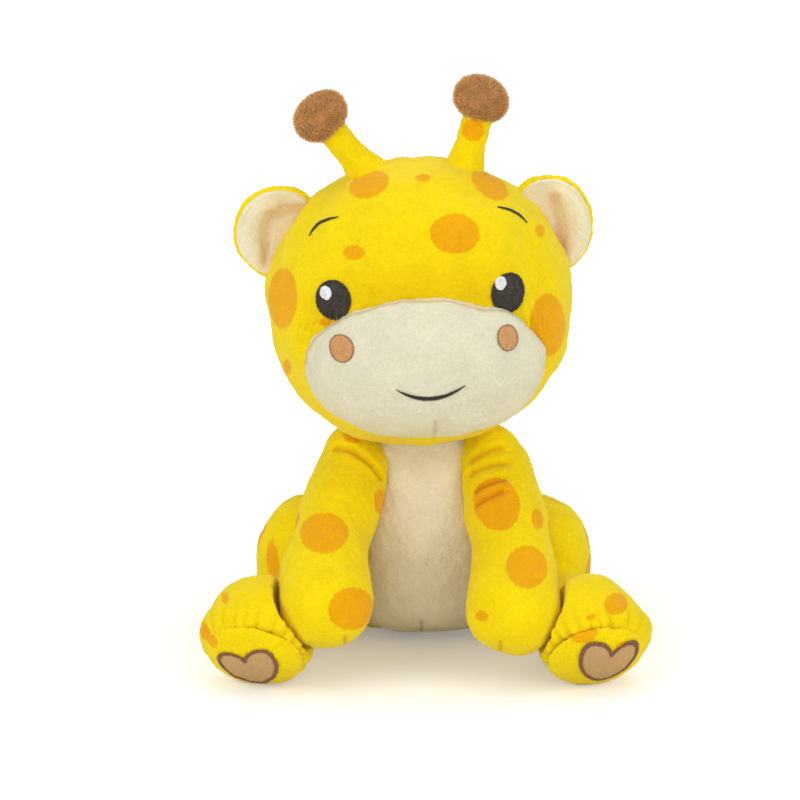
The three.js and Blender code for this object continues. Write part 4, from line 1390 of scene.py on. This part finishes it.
def closed_curve(points, count, keep=9):
    """A smooth closed curve through about the given points: their first few waves."""
    waves_of = np.fft.fft(np.array(points) @ (1, 1j)) / len(points)
    turns = np.linspace(0, 2 * np.pi, count, endpoint=False)
    line = sum(waves_of[k] * np.exp(1j * k * turns) for k in range(-keep, keep + 1))
    return np.stack([line.real, line.imag], 1)


def shell_distance(points, radii, middle, fullness):
    """About how far points lie outside a plump form, in millimetres."""
    share = np.abs((points - np.array(middle)) / np.array(radii))
    return ((share**fullness).sum(1) ** (1 / fullness) - 1) * np.mean(radii)


head_middle = HEAD_FRAME @ Vector((0, 0, 0))
print("head's middle:", [round(v, 1) for v in head_middle])

# %% Head: sewn and stuffed
under = swept("room_below", [pear(2.0), *body_forms(2.0)[2:], *arm_forms("left", 1.0),
                             *arm_forms("right", 1.8)],
              NECK_PIVOT, SWING_AXIS, NOD_ANGLES)
head = stuffed("head_cover", [turned(head_ball(-1.0), HEAD_FRAME)], [neck_ball(2.6)], [under],
               voxel=2.2, cap=1.6)
with_nap(head, lump=0.6)
tree = tree_of(head)
seam_at = [HEAD_FRAME.inverted() @ seen_at(tree, *pixel)[0] for pixel in MUZZLE_SEAM]
muzzle_outline = closed_curve([(p.x, p.z) for p in seam_at], 150)
reach = 1 - (np.abs(muzzle_outline / (HEAD_RADII[0], HEAD_RADII[2])) ** HEAD_FULLNESS).sum(1)
depth = -HEAD_RADII[1] * np.maximum(reach, 0) ** (1 / HEAD_FULLNESS)
seam_line = np.stack([muzzle_outline[:, 0], depth, muzzle_outline[:, 1]], 1)
seam_line = np.concatenate([seam_line, seam_line[:1]])
local = points_from(head, HEAD_FRAME)
to_muzzle = near_line(local, seam_line)
head_front = np.array(HEAD_FRAME.to_3x3() @ Vector((0, -1, 0)))
facing = np.clip((normals_of(head) @ head_front - 0.55) / 0.3, 0, 1)
dip = 2.4 * np.exp(-((to_muzzle / 15) ** 2)) * facing * np.clip((local[:, 2] + 20) / 20, 0, 1)
pushed(head, -dip)  # the seam pulls the cloth in above it
# Painted shade above the muzzle, stored below in the attribute seam
nap_tone_and_shade = 0.5 * np.exp(-((to_muzzle / 26) ** 2)) * facing * np.clip((local[:, 2] + 5) / 20, 0, 1)
pressed(head, 0.9, 1.6, to_muzzle)
pressed(head, 0.9, 1.3, np.where((local[:, 1] > 10) & (local[:, 2] > -60), np.abs(local[:, 0]), 99))
pressed(head, 0.8, 1.3, np.abs(local[:, 1] - 14) + np.maximum(5 - local[:, 2], 0))
# Painted shade above the muzzle, where the cloth dips below the forehead and faces down, away from
# the light
keep_number(head, "seam", np.maximum(kept_number(head, "seam"), nap_tone_and_shade))

ahead = block((-150, -150, -150), (150, -2, 150))
far_side = mesh_piece("all_but_the_panel", turned(ahead, HEAD_FRAME))
cut(far_side, turned(prism(muzzle_outline * 1.004, -160, 10), HEAD_FRAME))
muzzle = stuffed("muzzle_pillow",
                 [turned(muzzle_ball(-0.8), HEAD_FRAME), turned(head_ball(1.4), HEAD_FRAME)],
                 [turned(block((-150, -2.5, -150), (150, 150, 150)), HEAD_FRAME),
                  turned(head_ball(-9.0), HEAD_FRAME)],
                 [under, far_side], voxel=1.7, cap=1.3, smooth=4)
remove(under)
remove(far_side)
with_nap(muzzle, lump=0.45)
local = points_from(muzzle, HEAD_FRAME)
from_head = shell_distance(local, HEAD_RADII, (0, 0, 0), HEAD_FULLNESS)
around_seam = np.arctan2(local[:, 2] + 16, local[:, 0])
pucker = 0.14 * np.sin(around_seam * 34 + 3 * np.sin(around_seam * 5))
pucker *= np.exp(-np.maximum(from_head, 0) / 4)
pushed(muzzle, pucker)
pressed(muzzle, 0.4, 1.2, from_head)
chin = np.hypot(local[:, 0] - 1, np.maximum(local[:, 2] + 42, 0))
pressed(muzzle, 0.4, 0.6, np.where(local[:, 1] < -30, chin, 99))

HEAD_SPOTS = [
    (369, 184, 41, 29, 20), (423, 178, 15, 9, 0), (490, 185, 42, 26, -38), (455, 233.5, 50, 41, 0),
    (354, 252.6, 22, 15, 0), (282.5, 298, 31, 61, 0), (548, 325, 38, 63, 0), (287, 367, 9, 16, 0),
    (540, 231, 10, 14, 0), (327, 322, 18, 8, 0),
]
HEAD_BACK_SPOTS = [
    (100, 22, 13, 11), (128, -12, 14, 12), (150, 28, 11, 10), (172, -2, 14, 15), (160, -35, 8, 9),
    (200, 32, 12, 13), (212, -18, 12, 11), (238, 12, 13, 14), (262, 38, 10, 9), (256, -28, 9, 8),
    (190, 62, 11, 10), (140, 58, 7, 7), (112, 45, 8, 9), (185, -42, 10, 8),
]
spots = np.minimum(seen_spots(head, HEAD_SPOTS), unseen_spots(head, head_middle, HEAD_BACK_SPOTS))
finish_plush(head, yellow_plush, "head", ["head"], spots)
finish_plush(muzzle, ivory_plush, "head", ["muzzle"])

# %% [markdown]
# ## Face
#
# The whole face is machine embroidery. The eyes are filled with rows of dark thread under a ring
# of satin stitch, and each has a glint of white thread over it. The brows and the mouth are satin
# columns: short stitches straight across a thin arc that tapers to both ends. The nostrils are
# ovals of tan thread with one line of darker stitches round them.

# %% Face: outlines and columns
def oval(half_width, half_height, middle=(0, 0), tilt=0.0, count=72):
    t = np.linspace(0, 2 * np.pi, count, endpoint=False)
    flat = np.stack([half_width * np.cos(t), half_height * np.sin(t)], 1)
    return flat @ turning(tilt) + np.array(middle)


def column(span, rise, thick, middle, tilt, spacing=0.36):
    """Satin stitches across an arc that is thick in the middle and tapers to its ends."""
    length = math.hypot(span, rise) * 1.05
    t = np.linspace(-1, 1, int(length / spacing))
    line = np.stack([span / 2 * t, rise * (1 - t * t)], 1)
    ahead = np.gradient(line, axis=0)
    ahead /= np.linalg.norm(ahead, axis=1)[:, None]
    across = np.stack([-ahead[:, 1], ahead[:, 0]], 1)
    half = (thick / 2 * (1 - np.abs(t) ** 2.2) + 0.18)[:, None]
    edges = line - across * half, line + across * half
    low, high = (edge @ turning(tilt) + middle for edge in edges)
    return [(tuple(p), tuple(q)) for p, q in zip(low, high)]


on_head = caster(head, HEAD_FRAME, **FRONTAL)
on_muzzle = caster(muzzle, HEAD_FRAME, **FRONTAL)


def under_thread(name, outline, middle, cast, yarn, rise=0.45):
    """The dense ground of thread that a fill's top rows lie on."""
    ground = panel(name, outline, middle, cast, rise=rise, rings=16, edge=0.04, sink=0.35)
    ground.data.materials.append(yarn)
    return ground


# %% Face: eyes, brows, nostrils and mouth
EYE_AT, EYE_RADII = {"left": (41.2, 15.1), "right": (-44.8, 16.4)}, (8.3, 9.8)
EYE_TILT = {"left": -4, "right": -9}
GLINT_SHIFT, GLINT_RADII = {"left": (-3.6, 5.6), "right": (-3.3, 3.6)}, (2.9, 3.4)
BROW_AT, BROW_TILT = (47, 49), -34
NOSTRIL_AT, NOSTRIL_TILT = {"left": (38.7, -3.3), "right": (-42.4, -4.2)}, 14
NOSTRIL_RADII = {"left": (5.0, 6.1), "right": (5.7, 6.4)}

for side in ("left", "right"):
    s = SIGN[side]
    middle = EYE_AT[side]
    outline = oval(EYE_RADII[0] - 0.5, EYE_RADII[1] - 0.5, middle, EYE_TILT[side])
    eye = one_piece(f"{side}_eye_embroidery", [
        under_thread("ground", outline, middle, on_head, dark_thread),
        stitches("rows", filled(outline), on_head, dark_thread, width=0.6, lift=0.38, height=0.45),
        stitches("ring", bordered(oval(*EYE_RADII, middle, EYE_TILT[side]), 1.5, inset=0.75),
                 on_head, dark_thread, lift=0.5),
    ])
    middle = np.add(middle, GLINT_SHIFT[side])
    outline = oval(*GLINT_RADII, middle, EYE_TILT[side])
    glint = one_piece(f"{side}_eye_glint_embroidery", [
        under_thread("ground", outline, middle, on_head, white_thread, rise=0.85),
        stitches("rows", filled(outline, length=6, tilt=8), on_head, white_thread, width=0.6,
                 lift=0.9, height=0.5),
    ])
    arc = column(17.5, 1.7, 0.6, (s * BROW_AT[0], BROW_AT[1]), s * BROW_TILT)
    brow = stitches(f"{side}_brow_embroidery", arc, on_head, dark_thread, width=0.52, height=0.75,
                    lift=0.35)
    middle = NOSTRIL_AT[side]
    outline = oval(*NOSTRIL_RADII[side], middle, s * NOSTRIL_TILT)
    closed = [*outline, outline[0]]
    ends = [*closed[::3], outline[0]]
    edge = [(tuple(p), tuple(q)) for p, q in zip(ends, ends[1:])]
    nostril = one_piece(f"{side}_nostril_embroidery", [
        under_thread("ground", outline, middle, on_muzzle, tan_thread),
        stitches("rows", filled(outline), on_muzzle, tan_thread, width=0.6, lift=0.38, height=0.4),
        stitches("edge", edge, on_muzzle, russet_thread, width=0.6, height=0.6, lift=0.5),
    ])
    sewn_on(eye, "head", "dark_thread", f"{side}_eye")
    sewn_on(glint, "head", "white_thread", f"{side}_eye_glint")
    sewn_on(brow, "head", "dark_thread", f"{side}_brow")
    sewn_on(nostril, "head", "tan_felt", f"{side}_nostril")

mouth = stitches("mouth_embroidery", column(33.5, -5.4, 2.0, (-0.5, -23.5), 0), on_muzzle,
                 dark_thread, width=0.52, height=0.9, lift=0.35)
sewn_on(mouth, "head", "dark_thread", "mouth")

# %% [markdown]
# ## Ears
#
# An ear is two layers, yellow outside and cream inside, sewn round the edge and turned. It is
# pinched where it meets the head, so it cups forwards and a fold runs down its hollow. The cover is
# a flattened ball hollowed from the front, and the lining a thin bowl that lies in it.

# %% Ears
EAR_OUT, EAR_UP_DEG, EAR_BACK = 80, 29.5, 4
# Each ear is pulled a little differently
EAR_RADII = {"left": (23, 8.5, 26.5), "right": (23.5, 8.5, 24)}
EAR_SHIFT = {"left": (-1, 0, -3.5), "right": (0, 0, 1.2)}
EAR_WALL, HOLLOW_DEPTH, RIM = 3, 7, 2.2
# Where the lining is folded: (millimetres outwards, millimetres up) from the ear's middle
EAR_FOLD = {
    "left": [(5, -18), (6, 0), (3, 13)],
    "right": [(7.5, -15), (7, 1), (4, 8.5), (-5, 11.5), (-18, 12)],
}
EAR_ROOT, EAR_FREE = 74, 90  # the real cloth bends between these distances from the head's middle; this script doesn't bend it
SEWN_IN = turned(head_ball(-4.0), HEAD_FRAME)  # what is sewn to the head ends just under its cloth


def ear_place(side, out):
    a = math.radians(EAR_UP_DEG)
    return Vector((SIGN[side] * math.cos(a) * out, EAR_BACK, math.sin(a) * out))


def hollow(side, grow=0.0):
    wide, thick, tall = EAR_RADII[side]
    size = (wide - EAR_WALL + grow, HOLLOW_DEPTH + grow, tall - EAR_WALL + grow)
    return plump(size, (0, EAR_WALL - thick, 0))


def ear_front(side, place):
    """Lays flat places onto the front of an ear's cover: its hollow, and the rim round that."""
    wide, thick, tall = EAR_RADII[side]
    forwards = place.to_3x3() @ Vector((0, -1, 0))

    def cast(a, b):
        front = -thick * math.sqrt(max(1 - (a / wide) ** 2 - (b / tall) ** 2, 0))
        inside = 1 - (a / (wide - EAR_WALL)) ** 2 - (b / (tall - EAR_WALL)) ** 2
        if inside > 0:
            front = max(front, EAR_WALL - thick + HOLLOW_DEPTH * math.sqrt(inside))
        return place @ Vector((a, front, b)), forwards

    return cast


for side in ("left", "right"):
    place = HEAD_FRAME @ Matrix.Translation(ear_place(side, EAR_OUT) + Vector(EAR_SHIFT[side]))
    bends = ("head", HEAD_FRAME @ ear_place(side, EAR_ROOT), HEAD_FRAME @ ear_place(side, EAR_FREE))
    cover = stuffed(f"{side}_ear_cover", [turned(plump(EAR_RADII[side]), place)],
                    [turned(hollow(side, 0.4), place), SEWN_IN], voxel=1.3, smooth=4, cap=0.6)
    with_nap(cover, lump=0.3)
    wide, _, tall = EAR_RADII[side]
    lining = panel(f"{side}_ear_lining_cloth", oval(wide - RIM, tall - RIM, count=150), (0, 0),
                   ear_front(side, place), rise=1.3, rings=36, edge=0.05, sink=0.5)
    cut(lining, SEWN_IN)
    local = points_from(lining, place)
    flat = local[:, [0, 2]] * (SIGN[side], 1)
    from_middle = np.hypot(local[:, 0] / wide, local[:, 2] / tall)
    from_fold = near_line(flat, EAR_FOLD[side])
    beyond = np.clip((flat[:, 0] + 4) / 10, 0.25, 1)  # the outer half is stuffed by the folded edge
    roll = 2.6 * beyond * np.exp(-(((from_middle - 0.66) / 0.22) ** 2))
    crease = 2.2 * np.exp(-((from_fold / 2.4) ** 2)) * np.clip((0.95 - from_middle) / 0.3, 0, 1)
    crease = np.minimum(crease, roll + 0.4)  # it doesn't go through to the cover
    forwards = np.array(place.to_3x3() @ Vector((0, -1, 0)))
    top = np.clip((normals_of(lining) @ forwards - 0.1) / 0.3, 0, 1)
    move_points(lining, points_of(lining) + forwards * ((roll - crease) * top)[:, None])
    # Painted shade in the lining's fold and over its inner half, towards the head
    keep_number(lining, "seam",
                np.clip(0.9 * np.exp(-((from_fold / 3.5) ** 2)) + 0.5 * (1 - beyond), 0, 1) * top)
    with_nap(lining, lump=0.3, nap=0.05)
    finish_plush(cover, yellow_plush, f"{side}_ear", [f"{side}_ear"],
                 unseen_spots(cover, place @ Vector((0, 0, 0)),
                              [(180, 20, 7, 6), (200, -35, 5, 6)]), bends=bends)
    finish_plush(lining, lining_plush, f"{side}_ear", [f"{side}_ear_lining"],
                 bends=bends)

# %% [markdown]
# ## Ossicones
#
# A giraffe's ossicones are short horns of bone under skin. On the toy each is a stuffed stalk with
# a flattened ball of brown plush on it. Its pile is longer than the yellow one, about 3 mm, and
# stands up all round, so one sees single tufts against the light. Here Geometry Nodes scatter
# short cones over the ball, each with a small tilt and a tone of its own. The tail's tuft gets the
# same pile.

# %% Ossicones: the long pile
PILE_LONG_MM, PILE_WIDE_MM, PILE_TILT, TUFTS_PER_MM2 = 2.6, 0.34, 0.45, 4.2


def long_pile(name, colour):
    """Brown plush whose every tuft has a tone of its own, stored in the attribute tone."""
    material = bpy.data.materials.new(name)
    add = shader_nodes(material)
    own = add("ShaderNodeAttribute", attribute_name="tone").outputs["Fac"]
    tone = add("ShaderNodeMapRange", {"Value": own}, {"To Min": 0.6, "To Max": 1.35})
    patch = between(add, noise(add, 5, 3.0), 0.8, 1.15)
    both = add("ShaderNodeMath", {0: tone.outputs[0], 1: patch}, operation="MULTIPLY")
    surface(add, scaled(add, colour, both.outputs[0]), Roughness=0.8, Specular_IOR_Level=0.25,
            Sheen_Weight=0.4, Sheen_Roughness=0.4, Sheen_Tint=(1.0, 0.86, 0.7, 1.0))
    return material


brown_pile = long_pile("brown_long_pile_plush", "#EBB26C")

pile_tool, add, ins, result = node_tool("long_pile", {
    "Density": "Float", "Length": "Float", "Width": "Float", "Tilt": "Float", "Pile": "Material",
})
roots = add("GeometryNodeDistributePointsOnFaces",
            {"Mesh": ins["Geometry"], "Density": ins["Density"]}, {"Seed": 5})
tuft = add("GeometryNodeMeshCone", {"Radius Bottom": ins["Width"], "Depth": ins["Length"]},
           {"Vertices": 3, "Radius Top": 0.0})
lean = add("FunctionNodeRandomValue", inputs={0: (-1, -1, -1), 1: (1, 1, 1), "Seed": 3},
           data_type="FLOAT_VECTOR")
bend = add("ShaderNodeVectorMath", {0: lean.outputs[0], "Scale": ins["Tilt"]}, operation="SCALE")
way = add("ShaderNodeVectorMath", {0: roots.outputs["Normal"], 1: bend.outputs[0]},
          operation="ADD")
stand = add("FunctionNodeAlignRotationToVector", {"Vector": way.outputs[0]}, axis="Z")
length = add("FunctionNodeRandomValue", inputs={2: 0.65, 3: 1.1, "Seed": 7}, data_type="FLOAT")
planted = add("GeometryNodeInstanceOnPoints",
              {"Points": roots.outputs["Points"], "Instance": tuft.outputs["Mesh"],
               "Rotation": stand.outputs[0], "Scale": length.outputs[1]})
chance = add("FunctionNodeRandomValue", inputs={"Seed": 11}, data_type="FLOAT")
toned = add("GeometryNodeStoreNamedAttribute",
            {"Geometry": planted.outputs[0], "Value": chance.outputs[1]}, {"Name": "tone"},
            data_type="FLOAT", domain="INSTANCE")
grown = add("GeometryNodeRealizeInstances", {"Geometry": toned.outputs[0]})
result(add("GeometryNodeSetMaterial", {"Geometry": grown.outputs[0], "Material": ins["Pile"]}))


def furred(piece):
    """Adds long pile over a piece and joins both to one mesh."""
    cover = linked(piece.name, piece.data.copy())
    run_tool(cover, pile_tool, Density=TUFTS_PER_MM2 * 1e6, Length=PILE_LONG_MM * MM,
             Width=PILE_WIDE_MM / 2 * MM, Tilt=PILE_TILT, Pile=brown_pile)
    piece.data.materials.clear()
    piece.data.materials.append(brown_pile)
    keep_number(piece, "tone", np.full(len(piece.data.vertices), 0.25))
    return one_piece(piece.name, [piece, cover])


# %% Ossicones: stalks and tips
STALK_RADII, STALK_LONG, FOOT_IN = (11.8, 8.1, 7.8), 47, 9
TIP_RADII = (15.2, 15.2, 12.8)
HORN_OFFSET, HORN_LEAN = {"right": -25, "left": 27}, {"right": -35.5, "left": 16.5}

for side in ("left", "right"):
    offset, lean_deg = HORN_OFFSET[side], math.radians(HORN_LEAN[side])
    root = Vector((offset, 0, HEAD_RADII[2] * math.sqrt(1 - (offset / HEAD_RADII[0]) ** 2)))
    rise = Vector((math.sin(lean_deg), 0, math.cos(lean_deg)))
    start, end = root - rise * FOOT_IN, root + rise * (STALK_LONG - TIP_RADII[2])
    tip_place = HEAD_FRAME @ Matrix.Translation(end) @ Matrix.Rotation(lean_deg, 4, "Y")
    bends = ("head", HEAD_FRAME @ root, HEAD_FRAME @ (root + rise * 13))
    stalk_form = limb((start, start.lerp(end, 0.5), end), [r - 0.4 for r in STALK_RADII])
    tip_form = turned(plump([r - 2.6 for r in TIP_RADII]), tip_place)
    stalk = stuffed(f"{side}_ossicone_stalk", [turned(stalk_form, HEAD_FRAME)], [tip_form, SEWN_IN],
                    voxel=1.3, smooth=4, cap=0.7)
    with_nap(stalk, lump=0.3)
    spots = seen_spots(stalk, [(473, 130, 22, 22, 0)], 6) if side == "left" else unseen_spots(
        stalk, HEAD_FRAME @ start.lerp(end, 0.6), [(170, 0, 5, 6)], 6)
    finish_plush(stalk, yellow_plush, f"{side}_ossicone", [f"{side}_ossicone"],
                 spots, bends=bends)
    ball = turned(plump([r - 2.2 for r in TIP_RADII]), tip_place)
    tip = stuffed(f"{side}_ossicone_tip_ball", [ball], voxel=1.3, cap=0.7, levels=0)
    with_nap(tip, nap=0.1)
    tip = furred(tip)
    finish_plush(tip, brown_pile, f"{side}_ossicone", [f"{side}_ossicone_tip"])

# %% [markdown]
# ## Tail
#
# The photograph doesn't show the back. Such a toy has a thin stuffed tail with a brown tuft, sewn
# into the back seam low down, and it rests near the floor.

# %% Tail
TAIL_ROOT, TAIL_END, TAIL_SAG = Vector((0, 36, 30)), Vector((0, 66, 12)), 5
tail_middle = TAIL_ROOT.lerp(TAIL_END, 0.5) - Vector((0, 0, TAIL_SAG))
fall = math.atan2(tail_middle.z - TAIL_END.z, TAIL_END.y - tail_middle.y)
tuft_place = Matrix.Translation(TAIL_END) @ Matrix.Rotation(math.pi / 2 + fall, 4, "X")
tail = stuffed("tail_cord", [limb((TAIL_ROOT, tail_middle, TAIL_END), (4.3, 4.3, 4.3))],
               [turned(plump((7, 7, 12)), tuft_place), pear(-3)], voxel=1.1, smooth=4, cap=0.4)
with_nap(tail, lump=0.2)
finish_plush(tail, yellow_plush, "tail", ["tail"],
             unseen_spots(tail, tail_middle, [(90, 50, 3, 3)]),
             bends=("torso", (0, 41, 26), (0, 54, 18)))
tuft_ball = stuffed("tail_tuft_ball", [turned(plump((7.2, 7.2, 12.6)), tuft_place)], [FLOOR],
                    voxel=1.1, cap=0.5, levels=0)
with_nap(tuft_ball, lump=0.4, nap=0.1)
tuft_ball = furred(tuft_ball)
on_floor(tuft_ball)
finish_plush(tuft_ball, brown_pile, "tail", ["tail_tuft"])
